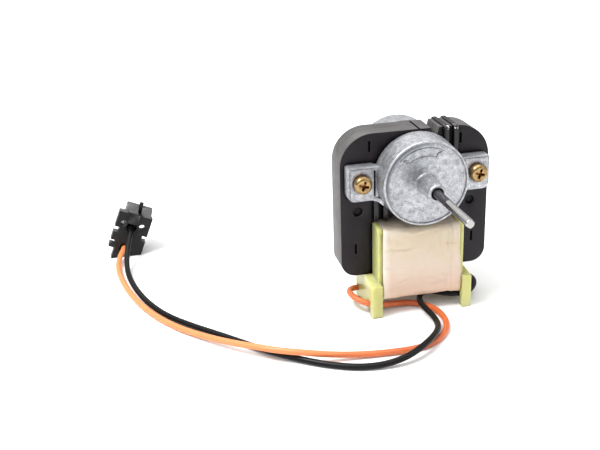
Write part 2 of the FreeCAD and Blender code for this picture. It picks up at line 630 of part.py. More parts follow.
def bracket(label, rear):
    def out(text):
        return "stackDepth + (%s)" % text if rear else "-(%s)" % text

    item = body(label)
    drawing = sketch(item, "YZ_Plane", rise="shaftHeight")
    profile = [
        ("bellStandoff", "bellBase - bellWall"),
        ("bellStandoff", "bellBase"),
        ("bellDepth", "bellRim"),
        ("bellDepth", "bellRim - rimLip"),
        ("bellFace", "bellRim - rimLip"),
    ]
    if rear:
        profile += [
            ("bellFace", "rearBossRadius"),
            ("bellDepth + rearBossRise", "rearBossRadius"),
            ("bellDepth + rearBossRise", "0"),
            ("shaftRear + runningGap * 10", "0"),
            ("shaftRear + runningGap * 10", "noseBore"),
        ]
    else:
        profile += [
            ("bellFace", "noseFoot"),
            ("noseTip", "noseRadius"),
            ("noseTip", "noseBore"),
        ]
    profile += [
        ("bearingStop", "noseBore"),
        ("bearingStop", "bearingRadius + fitGap"),
        ("feltStop", "bearingRadius + fitGap"),
        ("feltStop", "feltRadius + fitGap"),
        ("bossEnd", "feltRadius + fitGap"),
        ("bossEnd", "bossRadius"),
        ("bellFace - faceWall", "bossRadius"),
        ("bellFace - faceWall", "bellRim - bellWall"),
    ]
    polygon(drawing, [(out(y), r) for y, r in profile])
    revolve(item, drawing)
    face = size("stackDepth") + size("bellDepth") if rear else -size("bellDepth")
    inside = size("bellRim") - size("rimLip")
    fillet(item, "rimRound", rim(size("bellRim"), face))
    fillet(item, "lipRound", rim(inside, face))
    if rear:
        fillet(item, "rimRound", rim(size("rearBossRadius"), face + size("rearBossRise")))
    else:
        fillet(item, "noseFillet", rim(size("noseFoot"), -size("bellFace")))
        chamfer(item, "noseChamfer", rim(size("noseRadius"), -size("noseTip")))

    # ears, their bridges to the bell and the raised screw pads
    under = "shaftHeight - earFall"
    above = "shaftHeight + earRise"
    steps = [
        ("0", "earThickness", "earInner", "earOuter", under, above),
        ("bellStandoff", "earThickness", "bridgeInner", "padInner", under, above),
        ("earThickness", "earThickness + padRise", "padInner", "padOuter", under + " + padMargin / 2",
         above + " - padMargin"),
    ]
    for near, far, inner, outer, low, high in steps:
        drawing = sketch(item, "XZ_Plane", offset="-(%s)" % out(near))
        for left, right in (("-" + outer, "-" + inner), (inner, outer)):
            rectangle(drawing, left, right, low, high)
        pad(item, drawing, "%s - (%s)" % (far, near), reverse=rear)
    outer = size("earOuter")
    low = size("shaftHeight") - size("earFall")
    high = size("shaftHeight") + size("earRise")
    fillet(item, "earCorner", corner(alongY, (-outer, outer), (low,)))
    fillet(item, "earTopCorner", corner(alongY, (-outer, outer), (high,)))
    outer = size("padOuter")
    fillet(item, "padRise * 2", corner(alongY, (-outer, outer), (low + size("padMargin") / 2,)))

    # pockets between ear and bell
    drawing = sketch(item, "XZ_Plane", offset="-(%s)" % out("earThickness"))
    for side in ("-", ""):
        rectangle(drawing, side + "earInner", side + "pocketOuter",
                  under + " + pocketLip", above + " - pocketLip")
    pocket(item, drawing, "pocketDepth", reverse=rear)

    # screw holes
    drawing = sketch(item, "XZ_Plane", offset="-(%s)" % out("earThickness + padRise"))
    clearance = "fitGap" if rear else "screwClearance"
    for side in ("-", ""):
        circle(drawing, "screwRadius + " + clearance, side + "legMiddle", "shaftHeight")
    pocket(item, drawing, "earThickness + padRise", reverse=rear)
    return item


bracket("front_bracket", rear=False)
bracket("rear_bracket", rear=True)

# Sleeve bearings with their felt and retainers, one set in each bracket

for end in ("front", "rear"):
    def placed(near, far):
        """The y of the forward end of a piece that lies between two distances from the core."""
        return "-(%s)" % far if end == "front" else "stackDepth + (%s)" % near

    tube(end + "_bearing", "bearingRadius", "journalRadius + runningGap",
         placed("bearingStart", "bearingStop - fitGap"), "bearingStop - fitGap - bearingStart")
    tube(end + "_oil_felt", "feltRadius", "bearingRadius + fitGap",
         placed("bossEnd + fitGap", "feltStop - fitGap"), "feltStop - bossEnd - 2 * fitGap")
    tube(end + "_bearing_retainer", "bossRadius", "retainerBore",
         placed("bossEnd - retainerThickness", "bossEnd"), "retainerThickness")
    tube(end + "_rotor_spacer", "spacerRadius", "journalRadius + fitGap / 5",
         placed("0", "spacerLength"), "spacerLength")
    tube(end + "_thrust_washer", "washerRadius", "journalRadius + fitGap / 5",
         placed("spacerLength", "spacerLength + washerThickness"), "washerThickness")

# Bracket screws: pan heads with a cross recess

long = "recessLength / 2"
short = "recessWidth / 2"
quarter = [(long, "-" + short), (long, short), (short, short)]
cross = []
for turned in range(4):
    cross += quarter
    quarter = [("-(%s)" % up, across) for across, up in quarter]
for label, side in (("bracket_screw_left", "-"), ("bracket_screw_right", "")):
    screw = body(label, x=side + "legMiddle", z="shaftHeight", axis=alongY, angle="screwTurn")
    drawing = sketch(screw, "YZ_Plane")
    seat = "-(earThickness + padRise)"
    polygon(drawing, [
        (seat + " - screwHeadHeight", "0"),
        (seat + " - screwHeadHeight", "screwHeadRadius"),
        (seat, "screwHeadRadius"),
        (seat, "screwRadius"),
        ("stackDepth + earThickness - screwTipGap - screwRadius / 2", "screwRadius"),
        ("stackDepth + earThickness - screwTipGap", "screwRadius / 2"),
        ("stackDepth + earThickness - screwTipGap", "0"),
    ])
    revolve(screw, drawing)
    headFace = -size("earThickness") - size("padRise") - size("screwHeadHeight")
    fillet(screw, "screwHeadRound", rim(size("screwHeadRadius"), headFace))
    drawing = sketch(screw, "XZ_Plane", offset="-(%s - screwHeadHeight)" % seat)
    polygon(drawing, cross)
    pocket(screw, drawing, "recessDepth")

# Rotor: laminated core, cast cage with end rings, and the shaft

rotor = body("rotor_core", z="shaftHeight")
drawing = sketch(rotor, "XZ_Plane")
circle(drawing, "rotorRadius")
circle(drawing, "journalRadius + fitGap / 5")
pad(rotor, drawing, "stackDepth", reverse=True)
drawing = sketch(rotor, "XZ_Plane")
circle(drawing, "barRadius + fitGap", "barCircle")
hole = pocket(rotor, drawing)


def repeat_about_shaft(item, feature, drawing):
    pattern = item.newObject("PartDesign::PolarPattern", item.Label + "_pattern")
    pattern.Originals = [feature]
    pattern.Axis = (drawing, ["N_Axis"])
    pattern.Angle = 360.0
    bind(pattern, "Occurrences", "barCount")
    item.Tip = pattern
    doc.recompute()


repeat_about_shaft(rotor, hole, drawing)

cage = body("rotor_cage", z="shaftHeight")
drawing = sketch(cage, "XZ_Plane", offset="endRingHeight")
circle(drawing, "endRingOuter")
circle(drawing, "endRingInner")
pad(cage, drawing, "endRingHeight", reverse=True)
drawing = sketch(cage, "XZ_Plane")
circle(drawing, "barRadius", "barCircle")
bar = pad(cage, drawing, "stackDepth", reverse=True)
repeat_about_shaft(cage, bar, drawing)
drawing = sketch(cage, "XZ_Plane", offset="-stackDepth")
circle(drawing, "endRingOuter")
circle(drawing, "endRingInner")
pad(cage, drawing, "endRingHeight", reverse=True)

shaft = body("shaft", z="shaftHeight", axis=alongY, angle="flatTurn")
drawing = sketch(shaft, "XZ_Plane", offset="noseTip + shoulderReach")
circle(drawing, "journalRadius")
pad(shaft, drawing, "noseTip + shoulderReach + stackDepth + shaftRear", reverse=True)
chamfer(shaft, "shaftChamfer", lambda edge: isinstance(edge.Curve, Part.Circle) and edge.CenterOfMass.y > 0)
drawing = sketch(shaft, "XZ_Plane", offset="tipReach")
circle(drawing, "shaftRadius")
pad(shaft, drawing, "tipReach - noseTip - shoulderReach", reverse=True)
shoulder = size("noseTip") + size("shoulderReach") + size("shaftChamfer")
chamfer(shaft, "shaftChamfer", lambda edge: isinstance(edge.Curve, Part.Circle)
        and edge.CenterOfMass.y < -shoulder)
drawing = sketch(shaft, "XZ_Plane", offset="tipReach")
rectangle(drawing, "-shaftRadius", "shaftRadius", "-2 * shaftRadius", "flatDepth - shaftRadius")
pocket(shaft, drawing, "flatLength")

# Connector: a two-circuit housing with latch wings, and its contacts

plugPlace = {"x": "plugX", "y": "plugY", "z": "plugZ", "axis": alongY, "angle": "plugRoll"}
plug = body("connector_housing", **plugPlace)
drawing = sketch(plug, "XZ_Plane")
rectangle(drawing, "-plugWidth / 2", "plugWidth / 2", "-plugHeight / 2", "plugHeight / 2")
pad(plug, drawing, "plugDepth", reverse=True)
drawing = sketch(plug, "XZ_Plane")
rectangle(drawing, "wingShift - plugWing", "wingShift + plugWing", "-wingBottom", "wingTop")
pad(plug, drawing, "wingDepth", reverse=True)


def sole(across):
    """The height in the connector's own frame of a line just above the floor."""
    return "(soleGap - plugZ) / cos(plugRoll) + (%s) * tan(plugRoll)" % across


drawing = sketch(plug, "XZ_Plane")
polygon(drawing, [(across, sole(across)) for across in ("-hoodRight * 0.6", "wingShift + plugWing")] + [
    ("wingShift + plugWing", sole("wingShift + plugWing") + " + 1"), ("-hoodRight * 0.6", "-wingBottom")])
pad(plug, drawing, "wingDepth", reverse=True)
drawing = sketch(plug, "YZ_Plane", offset="hoodLeft")
polygon(drawing, [
    ("0", "hoodBottom"),
    ("hoodDepth", "hoodBottom"),
    ("hoodDepth", "hoodTop"),
    ("hoodSlope", "hoodTop"),
    ("0", "hoodBottom + keyWidth / 2"),
])
pad(plug, drawing, "hoodRight - hoodLeft")
drawing = sketch(plug, "YZ_Plane", offset="-wedgeWidth / 2")
wedgeFoot = "upperCircuit + entryRadius"
polygon(drawing, [("0", wedgeFoot), ("0", "wingTop"), ("-wedgeReach", wedgeFoot)])
pad(plug, drawing, "wedgeWidth")
drawing = sketch(plug, "XZ_Plane", offset="-hoodSlope")
rectangle(drawing, "keyOffset", "keyOffset + keyWidth", "hoodBottom", "hoodTop + keyRise")
pad(plug, drawing, "keyLength", reverse=True)
drawing = sketch(plug, "XZ_Plane")
for side in ("-", ""):
    circle(drawing, "windowRadius", "wingShift " + (side or "+") + " windowAcross", "windowRise")
left = "wingShift - plugWing"
right = "wingShift + plugWing"
rectangle(drawing, left + " - 1", left + " + cutLength", "cutLeft", "cutLeft + cutHeight")
rectangle(drawing, left + " - 1", left + " + cutLength", "cutLow", "cutLow + cutLowHeight")
rectangle(drawing, right + " - cutLength", right + " + 1", "cutRight", "cutRight + cutHeight")
pocket(plug, drawing)
drawing = sketch(plug, "XZ_Plane")
rectangle(drawing, "keyOffset", "keyOffset + keyWidth", "hoodTop - keyDepth", "hoodTop + 1")
pocket(plug, drawing, "hoodSlope")
for radius, start, length in (("entryRadius", "0", "entryDepth"), ("wireBore", "0", "cavityStart")):
    drawing = sketch(plug, "XZ_Plane", offset="-(%s)" % start)
    circle(drawing, radius, "0", "upperCircuit")
    circle(drawing, radius, "0", "-lowerCircuit")
    pocket(plug, drawing, length)
drawing = sketch(plug, "XZ_Plane", offset="-cavityStart")
for level in ("upperCircuit", "-lowerCircuit"):
    rectangle(drawing, "-cavityWidth / 2", "cavityWidth / 2", level + " - cavityWidth / 2",
              level + " + cavityWidth / 2")
pocket(plug, drawing, "plugDepth")

contacts = [("connector_contact_upper", "upperCircuit"), ("connector_contact_lower", "-lowerCircuit")]
for label, level in contacts:
    contact = body(label, **plugPlace)
    drawing = sketch(contact, "XZ_Plane", offset="-cavityStart")
    rectangle(drawing, "-contactWidth / 2", "contactWidth / 2", level + " - cavityWidth / 2",
              level + " + contactWidth / 2")
    pad(contact, drawing, "contactLength", reverse=True)
    drawing = sketch(contact, "XZ_Plane", offset="-(cavityStart + contactLength)")
    rectangle(drawing, "-contactSlot / 2", "contactSlot / 2", level + " - contactSlot / 2",
              level + " + contactSlot / 2")
    pocket(contact, drawing, "contactLength * 2 / 3", reverse=True)

# Leads: straight runs joined by tangent arcs, from each splice to its contact

orangeRoute = [
    (-21.2, 10.0, 4.2), (-24.4, 7.8, 4.9), (-26.2, 4.1, 5.8), (-26.2, -0.3, 6.0), (-24.2, -4.0, 5.3),
    (-20.9, -6.2, 4.3), (-16.8, -6.4, 3.4), (-11.8, -5.2, 2.5), (-6.2, -4.0, 1.8), (-0.8, -4.8, 1.4),
    (3.4, -8.6, 1.3), (5.6, -14.4, 1.3), (5.9, -20.8, 1.3), (4.2, -27.2, 1.3), (0.6, -32.8, 1.3),
    (-4.8, -37.4, 1.3), (-12.4, -39.8, 1.3), (-22.4, -39.8, 1.3), (-33.4, -39.0, 1.6),
    (-44.6, -38.2, 2.9), (-54.2, -37.0, 4.6), (-62.4, -33.4, 4.7), (-70.6, -27.4, 4.4),
    (-78.6, -19.8, 3.2), (-87.0, -10.4, 2.0), (-95.4, -0.6, 1.4), (-103.0, 10.8, 1.3),
    (-109.4, 24.6, 1.3), (-114.0, 39.6, 1.3), (-116.8, 54.8, 1.3), (-117.6, 65.6, 1.8),
    (-116.4, 73.6, 3.2),
]
blackRoute = [
    (21.2, 10.0, 4.2), (24.4, 7.6, 4.9), (26.0, 4.0, 5.6), (26.0, -0.2, 5.7), (24.2, -3.8, 5.0),
    (21.0, -6.2, 4.1), (16.6, -6.3, 3.8), (12.2, -5.2, 4.0), (8.8, -3.3, 4.3), (5.4, -2.4, 4.7),
    (2.2, -3.5, 4.9), (-0.1, -6.6, 4.9), (-1.0, -10.6, 4.7), (-0.7, -15.0, 4.2), (0.9, -20.6, 3.2),
    (0.7, -26.4, 2.9), (-1.4, -32.4, 3.7), (-5.6, -38.4, 4.4), (-11.6, -43.8, 4.2), (-18.6, -47.4, 2.9),
    (-27.4, -48.2, 1.6), (-36.6, -46.8, 1.3), (-46.0, -42.4, 1.3), (-54.4, -36.8, 1.5),
    (-62.0, -31.2, 1.9), (-70.4, -21.8, 1.5), (-79.4, -11.2, 1.3), (-90.0, 0.0, 1.3),
    (-99.4, 11.4, 1.3), (-106.2, 25.2, 1.3), (-110.8, 40.4, 1.3), (-113.4, 54.6, 2.0),
    (-113.6, 64.0, 5.0), (-112.0, 71.8, 9.6),
]
arcShare = 0.45


def circuit(level, back):
    """A point on the line of a contact, at a distance in front of it."""
    turn = math.radians(size("plugRoll"))
    y = size("plugY") + size("cavityStart") - back
    return (size("plugX") + level * math.sin(turn), y, size("plugZ") + level * math.cos(turn))


def lead(label, side, route, level):
    """A tube from a splice along the route to a contact; its arcs are as large as the two runs allow."""
    splicePoint = (side * size("footInner"), size("leadHoleY"), size("leadHoleZ"))
    ends = [circuit(level, size("cavityStart")), circuit(level, 0)]
    points = [FreeCAD.Vector(*point) for point in [splicePoint] + route + ends]
    edges = []
    start = points[0]
    radii = []
    for before, here, after in zip(points, points[1:], points[2:]):
        incoming = here - before
        outgoing = after - here
        turn = incoming.getAngle(outgoing)
        reach = arcShare * min(incoming.Length, outgoing.Length)
        radius = reach / math.tan(turn / 2)
        radii.append(radius)
        u = FreeCAD.Vector(incoming).normalize()
        v = FreeCAD.Vector(outgoing).normalize()
        first = here - u * reach
        last = here + v * reach
        centre = here + (v - u).normalize() * (radius / math.cos(turn / 2))
        middle = centre + (here - centre).normalize() * radius
        edges.append(Part.LineSegment(start, first).toShape())
        edges.append(Part.Arc(first, middle, last).toShape())
        start = last
    edges.append(Part.LineSegment(start, points[-1]).toShape())
    path = Part.Wire(edges)
    section = Part.Wire([Part.Circle(points[0], points[1] - points[0], size("leadRadius")).toShape()])
    shape = path.makePipeShell([section], True, False)
    item = doc.addObject("Part::Feature", label)
    item.Label = label
    item.Shape = shape
    item.Placement = FreeCAD.Placement(FreeCAD.Vector(0, float(core.Placement.Base.y), 0), FreeCAD.Rotation())
    expected = math.pi * size("leadRadius") ** 2 * path.Length
    print("%s: length %.1f mm, smallest arc radius %.1f mm, volume over section times length %.4f"
          % (label, path.Length, min(radii), shape.Volume / expected))
    print("   radii", [round(radius, 1) for radius in radii])
    return item


lead("orange_lead", -1, orangeRoute, -size("lowerCircuit"))
lead("black_lead", 1, blackRoute, size("upperCircuit"))

doc.recompute()
os.makedirs("parts", exist_ok=True)
pieces = [item for item in doc.Objects if item.TypeId in ("PartDesign::Body", "Part::Feature")]
for item in doc.Objects:
    if "Invalid" in item.State or "Error" in item.State:
        raise RuntimeError("%s failed: %s" % (item.Label, item.State))
for item in pieces:
    if item.Shape.isNull() or not item.Shape.isValid():
        raise RuntimeError("%s has no valid shape" % item.Label)
for item in pieces:
    item.Shape.exportStep(os.path.join("parts", item.Label + ".step"))
    box = item.Shape.BoundBox
    print("%-28s solids %d  x %.1f..%.1f  y %.1f..%.1f  z %.1f..%.1f" % (
        item.Label, len(item.Shape.Solids), box.XMin, box.XMax, box.YMin, box.YMax, box.ZMin, box.ZMax))
print("pieces", len(pieces))
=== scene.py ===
import math

import bpy
from mathutils import Matrix, Vector, noise


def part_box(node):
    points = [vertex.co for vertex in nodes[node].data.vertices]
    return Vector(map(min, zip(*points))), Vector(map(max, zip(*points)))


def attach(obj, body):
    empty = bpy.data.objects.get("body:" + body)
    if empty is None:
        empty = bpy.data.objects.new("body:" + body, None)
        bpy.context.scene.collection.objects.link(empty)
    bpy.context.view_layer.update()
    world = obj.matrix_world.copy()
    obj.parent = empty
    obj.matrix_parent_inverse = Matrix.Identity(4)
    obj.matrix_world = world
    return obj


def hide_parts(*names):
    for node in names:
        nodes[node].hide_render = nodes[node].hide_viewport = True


# Lengths are in metres; mm turns millimetres into them.
mm = 0.001
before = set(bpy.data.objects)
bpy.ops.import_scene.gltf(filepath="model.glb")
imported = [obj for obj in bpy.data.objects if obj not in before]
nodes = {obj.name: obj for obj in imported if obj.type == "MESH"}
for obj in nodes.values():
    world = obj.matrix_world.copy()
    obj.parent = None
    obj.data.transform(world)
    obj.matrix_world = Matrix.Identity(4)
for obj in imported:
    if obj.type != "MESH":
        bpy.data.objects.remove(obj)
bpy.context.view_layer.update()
print("frame loaded,", len(nodes), "nodes")

# The route points are counted from the front face of the core, which lies this far back in the frame.
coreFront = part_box("stator_core")[0].y
shaftHeight = 55.0 * mm


# Node helpers


def connect(tree, source, output, target, socket):
    tree.links.new(source.outputs[output], target.inputs[socket])


# A node with its properties set, and its inputs set to values or linked from (node, output) pairs.
def addNode(tree, kind, links=None, **values):
    node = tree.nodes.new(kind)
    for name, value in values.items():
        setattr(node, name, value)
    for socket, value in (links or {}).items():
        if isinstance(value, tuple) and isinstance(value[0], bpy.types.Node):
            connect(tree, value[0], value[1], node, socket)
        else:
            node.inputs[socket].default_value = value
    return node


def newGroup(name, inputs, outputs):
    group = bpy.data.node_groups.new(name, "ShaderNodeTree")
    for label, kind, value in inputs:
        socket = group.interface.new_socket(name=label, in_out="INPUT", socket_type=kind)
        if value is not None:
            socket.default_value = value
    for label, kind in outputs:
        group.interface.new_socket(name=label, in_out="OUTPUT", socket_type=kind)
    return group, group.nodes.new("NodeGroupInput"), group.nodes.new("NodeGroupOutput")


def useGroup(tree, group, links=None):
    node = tree.nodes.new("ShaderNodeGroup")
    node.node_tree = group
    for socket, value in (links or {}).items():
        if isinstance(value, tuple) and isinstance(value[0], bpy.types.Node):
            connect(tree, value[0], value[1], node, socket)
        else:
            node.inputs[socket].default_value = value
    return node


# A colour ramp of grey levels or colours over a value.
def curve(tree, source, output, stops):
    ramp = addNode(tree, "ShaderNodeValToRGB", {0: (source, output)})
    elements = ramp.color_ramp.elements
    while len(elements) < len(stops):
        elements.new(0.5)
    for element, (place, colour) in zip(elements, stops):
        element.position = place
        element.color = colour if len(colour) == 4 else (*colour, 1)
    return ramp


def grey(level):
    return (level, level, level, 1)


# Effects shared by several materials

# grain: small bumps of one size
grainGroup, grainIn, grainOut = newGroup(
    "grain",
    [("Scale", "NodeSocketFloat", 1000.0), ("Depth", "NodeSocketFloat", 0.00002), ("Normal", "NodeSocketVector", None)],
    [("Normal", "NodeSocketVector"), ("Height", "NodeSocketFloat")],
)
place = addNode(grainGroup, "ShaderNodeTexCoord")
fine = addNode(grainGroup, "ShaderNodeTexNoise", {"Vector": (place, "Object"), "Scale": (grainIn, "Scale"),
                                                  "Detail": 4.0, "Roughness": 0.6})
rise = addNode(grainGroup, "ShaderNodeBump", {"Strength": 1.0, "Distance": (grainIn, "Depth"), "Height": (fine, "Fac"),
                                              "Normal": (grainIn, "Normal")})
connect(grainGroup, rise, "Normal", grainOut, "Normal")
connect(grainGroup, fine, "Fac", grainOut, "Height")

# patches: a slow wander between two colours, with a finer one on top
patchGroup, patchIn, patchOut = newGroup(
    "patches",
    [("Dark", "NodeSocketColor", (0, 0, 0, 1)), ("Light", "NodeSocketColor", (1, 1, 1, 1)),
     ("Scale", "NodeSocketFloat", 100.0), ("Contrast", "NodeSocketFloat", 2.0)],
    [("Color", "NodeSocketColor"), ("Fac", "NodeSocketFloat")],
)
place = addNode(patchGroup, "ShaderNodeTexCoord")
slow = addNode(patchGroup, "ShaderNodeTexNoise", {"Vector": (place, "Object"), "Scale": (patchIn, "Scale"),
                                                  "Detail": 6.0, "Roughness": 0.62, "Distortion": 0.4})
centred = addNode(patchGroup, "ShaderNodeMath", {0: (slow, "Fac"), 1: 0.5}, operation="SUBTRACT")
spread = addNode(patchGroup, "ShaderNodeMath", {0: (centred, 0), 1: (patchIn, "Contrast"), 2: 0.5},
                 operation="MULTIPLY_ADD", use_clamp=True)
blend = addNode(patchGroup, "ShaderNodeMix", {"Factor": (spread, 0), 6: (patchIn, "Dark"), 7: (patchIn, "Light")},
                data_type="RGBA")
connect(patchGroup, blend, 2, patchOut, "Color")
connect(patchGroup, spread, 0, patchOut, "Fac")

# touch: uneven gloss from handling and dust
touchGroup, touchIn, touchOut = newGroup(
    "touch",
    [("Roughness", "NodeSocketFloat", 0.4), ("Amount", "NodeSocketFloat", 0.1), ("Scale", "NodeSocketFloat", 150.0)],
    [("Roughness", "NodeSocketFloat")],
)
place = addNode(touchGroup, "ShaderNodeTexCoord")
smear = addNode(touchGroup, "ShaderNodeTexNoise", {"Vector": (place, "Object"), "Scale": (touchIn, "Scale"),
                                                   "Detail": 5.0, "Roughness": 0.7})
centred = addNode(touchGroup, "ShaderNodeMath", {0: (smear, "Fac"), 1: 0.5}, operation="SUBTRACT")
spread = addNode(touchGroup, "ShaderNodeMath", {0: (centred, 0), 1: (touchIn, "Amount")}, operation="MULTIPLY")
total = addNode(touchGroup, "ShaderNodeMath", {0: (spread, 0), 1: (touchIn, "Roughness")}, operation="ADD",
                use_clamp=True)
connect(touchGroup, total, 0, touchOut, "Roughness")

# sheets: the edges of stacked sheets, as thin lines across Y on every side face
sheetGroup, sheetIn, sheetOut = newGroup(
    "sheets",
    [("Pitch", "NodeSocketFloat", 0.0005), ("Depth", "NodeSocketFloat", 0.00003), ("Normal", "NodeSocketVector", None)],
    [("Normal", "NodeSocketVector"), ("Line", "NodeSocketFloat"), ("Side", "NodeSocketFloat")],
)
place = addNode(sheetGroup, "ShaderNodeTexCoord")
split = addNode(sheetGroup, "ShaderNodeSeparateXYZ", {0: (place, "Object")})
wander = addNode(sheetGroup, "ShaderNodeTexNoise", {"Vector": (place, "Object"), "Scale": 60.0, "Detail": 2.0})
shift = addNode(sheetGroup, "ShaderNodeMath", {0: (wander, "Fac"), 1: 0.00012, 2: (split, "Y")},
                operation="MULTIPLY_ADD")
turns = addNode(sheetGroup, "ShaderNodeMath", {0: (shift, 0), 1: (sheetIn, "Pitch")}, operation="DIVIDE")
part = addNode(sheetGroup, "ShaderNodeMath", {0: (turns, 0)}, operation="FRACT")
away = addNode(sheetGroup, "ShaderNodeMath", {0: (part, 0), 1: 0.5}, operation="SUBTRACT")
level = addNode(sheetGroup, "ShaderNodeMath", {0: (away, 0)}, operation="ABSOLUTE")
line = curve(sheetGroup, level, 0, [(0.3, grey(0)), (0.5, grey(1))])
sheetNumber = addNode(sheetGroup, "ShaderNodeMath", {0: (turns, 0)}, operation="FLOOR")
tone = addNode(sheetGroup, "ShaderNodeTexWhiteNoise", {"W": (sheetNumber, 0)}, noise_dimensions="1D")
mixed = addNode(sheetGroup, "ShaderNodeMath", {0: (tone, "Value"), 1: 0.6, 2: (line, 0)}, operation="MULTIPLY_ADD")
facing = addNode(sheetGroup, "ShaderNodeNewGeometry")
facingSplit = addNode(sheetGroup, "ShaderNodeSeparateXYZ", {0: (facing, "True Normal")})
along = addNode(sheetGroup, "ShaderNodeMath", {0: (facingSplit, "Y")}, operation="ABSOLUTE")
side = addNode(sheetGroup, "ShaderNodeMath", {0: 0.7, 1: (along, 0)}, operation="GREATER_THAN")
seen = addNode(sheetGroup, "ShaderNodeMath", {0: (line, 0), 1: (side, 0)}, operation="MULTIPLY")
rise = addNode(sheetGroup, "ShaderNodeBump", {"Strength": 1.0, "Distance": (sheetIn, "Depth"), "Height": (seen, 0),
                                              "Normal": (sheetIn, "Normal")}, invert=True)
connect(sheetGroup, rise, "Normal", sheetOut, "Normal")
connect(sheetGroup, mixed, 0, sheetOut, "Line")
connect(sheetGroup, side, 0, sheetOut, "Side")

# recess: painted shade, darker where other surfaces stand close by
recessGroup, recessIn, recessOut = newGroup(
    "recessShade",
    [("Reach", "NodeSocketFloat", 0.002), ("Darkest", "NodeSocketFloat", 0.1)],
    [("Level", "NodeSocketFloat")],
)
near = addNode(recessGroup, "ShaderNodeAmbientOcclusion", {"Distance": (recessIn, "Reach")}, samples=8)
clear = addNode(recessGroup, "ShaderNodeMapRange", {"Value": (near, "AO"), "From Min": 0.45, "From Max": 0.92,
                                                    "To Min": (recessIn, "Darkest")})
connect(recessGroup, clear, "Result", recessOut, "Level")
print("effect groups made")


# A material with uniform values set on its surface node.
def surface(name, **values):
    material = bpy.data.materials.new(name)
    material.use_nodes = True
    tree = material.node_tree
    shader = tree.nodes["Principled BSDF"]
    for label, value in values.items():
        shader.inputs[label.replace("_", " ")].default_value = value
    return material, tree, shader


# A material with patches of two colours, grain and uneven gloss.
def paint(name, dark, light, scale, contrast, grain, depth, roughness, uneven, **values):
    material, tree, shader = surface(name, **values)
    patches = useGroup(tree, patchGroup, {"Dark": (*dark, 1), "Light": (*light, 1), "Scale": scale,
                                          "Contrast": contrast})
    bumps = useGroup(tree, grainGroup, {"Scale": grain, "Depth": depth})
    gloss = useGroup(tree, touchGroup, {"Roughness": roughness, "Amount": uneven, "Scale": scale * 1.7})
    connect(tree, patches, "Color", shader, "Base Color")
    connect(tree, bumps, "Normal", shader, "Normal")
    connect(tree, gloss, "Roughness", shader, "Roughness")
    return material, tree, shader, patches, bumps, gloss


# Gives a carried-over CAD node its material and, where asked, small rounded edges.
def dress(node, material, edge=0.0, segments=2):
    item = nodes[node]
    item.data.materials.clear()
    item.data.materials.append(material)
    if edge:
        weld = item.modifiers.new("weld", "WELD")
        weld.merge_threshold = 1e-6
        rounding = item.modifiers.new("edges", "BEVEL")
        rounding.width = edge
        rounding.segments = segments
        rounding.limit_method = "ANGLE"
        rounding.angle_limit = math.radians(38)
        rounding.harden_normals = True
        rounding.use_clamp_overlap = True
    item.data.polygons.foreach_set("use_smooth", [True] * len(item.data.polygons))


# Camera at the photo's viewpoint: a frame fitted to corners and holes of the motor in the photo

cameraSettings = {
    "azimuth": -11.327185, "elevation": 21.944907, "roll": -2.269152, "focal": 897.4854, "pictureWidth": 600.0,
    "slideRight": 43.632038, "slideUp": 13.055766, "distance": 356.601639, "aim": (0.0, 6.0, 45.0),
}
turn = math.radians(cameraSettings["azimuth"])
tilt = math.radians(cameraSettings["elevation"])
roll = math.radians(cameraSettings["roll"])
back = Vector((math.sin(turn) * math.cos(tilt), -math.cos(turn) * math.cos(tilt), math.sin(tilt)))
right = Vector((math.cos(turn), math.sin(turn), 0))
up = back.cross(right)
rightRolled = right * math.cos(roll) + up * math.sin(roll)
upRolled = up * math.cos(roll) - right * math.sin(roll)
aim = Vector(cameraSettings["aim"])
stand = aim - rightRolled * cameraSettings["slideRight"] - upRolled * cameraSettings["slideUp"]
stand += back * cameraSettings["distance"]
camera = bpy.data.objects.new("camera", bpy.data.cameras.new("camera"))
bpy.context.scene.collection.objects.link(camera)
facingMatrix = Matrix((rightRolled, upRolled, back)).transposed()
camera.matrix_world = Matrix.Translation(stand * mm + Vector((0, coreFront, 0))) @ facingMatrix.to_4x4()
camera.data.sensor_width = 36.0
camera.data.lens = cameraSettings["focal"] / cameraSettings["pictureWidth"] * camera.data.sensor_width
camera.data.clip_start = 0.01
camera.data.clip_end = 20.0
bpy.context.scene.camera = camera
print("camera set")

# Leads

leadSettings = {"radius": 1.2, "resolution": 6, "roundness": 5}
orangeRoute = [
    (-16.6, 10.0, 4.2), (-21.2, 10.0, 4.2), (-24.4, 7.8, 4.9), (-26.2, 4.1, 5.8), (-26.2, -0.3, 6.0),
    (-24.2, -4.0, 5.3), (-20.9, -6.2, 4.3), (-16.8, -6.4, 3.4), (-11.8, -5.2, 2.5), (-6.2, -4.0, 1.8),
    (-0.8, -4.8, 1.4), (3.4, -8.6, 1.3), (5.6, -14.4, 1.3), (5.9, -20.8, 1.3), (4.2, -27.2, 1.3),
    (0.6, -32.8, 1.3), (-4.8, -37.4, 1.3), (-12.4, -39.8, 1.3), (-22.4, -39.8, 1.3),
    (-33.4, -39.0, 1.6), (-44.6, -38.2, 2.9), (-54.2, -37.0, 4.6), (-62.4, -33.4, 4.7),
    (-70.6, -27.4, 4.4), (-78.6, -19.8, 3.2), (-87.0, -10.4, 2.0), (-95.4, -0.6, 1.4),
    (-103.0, 10.8, 1.3), (-109.4, 24.6, 1.3), (-114.0, 39.6, 1.3), (-116.8, 54.8, 1.3),
    (-117.6, 65.6, 1.8), (-116.4, 73.6, 3.2), (-113.852, 80.0, 4.53), (-113.852, 85.0, 4.53),
]
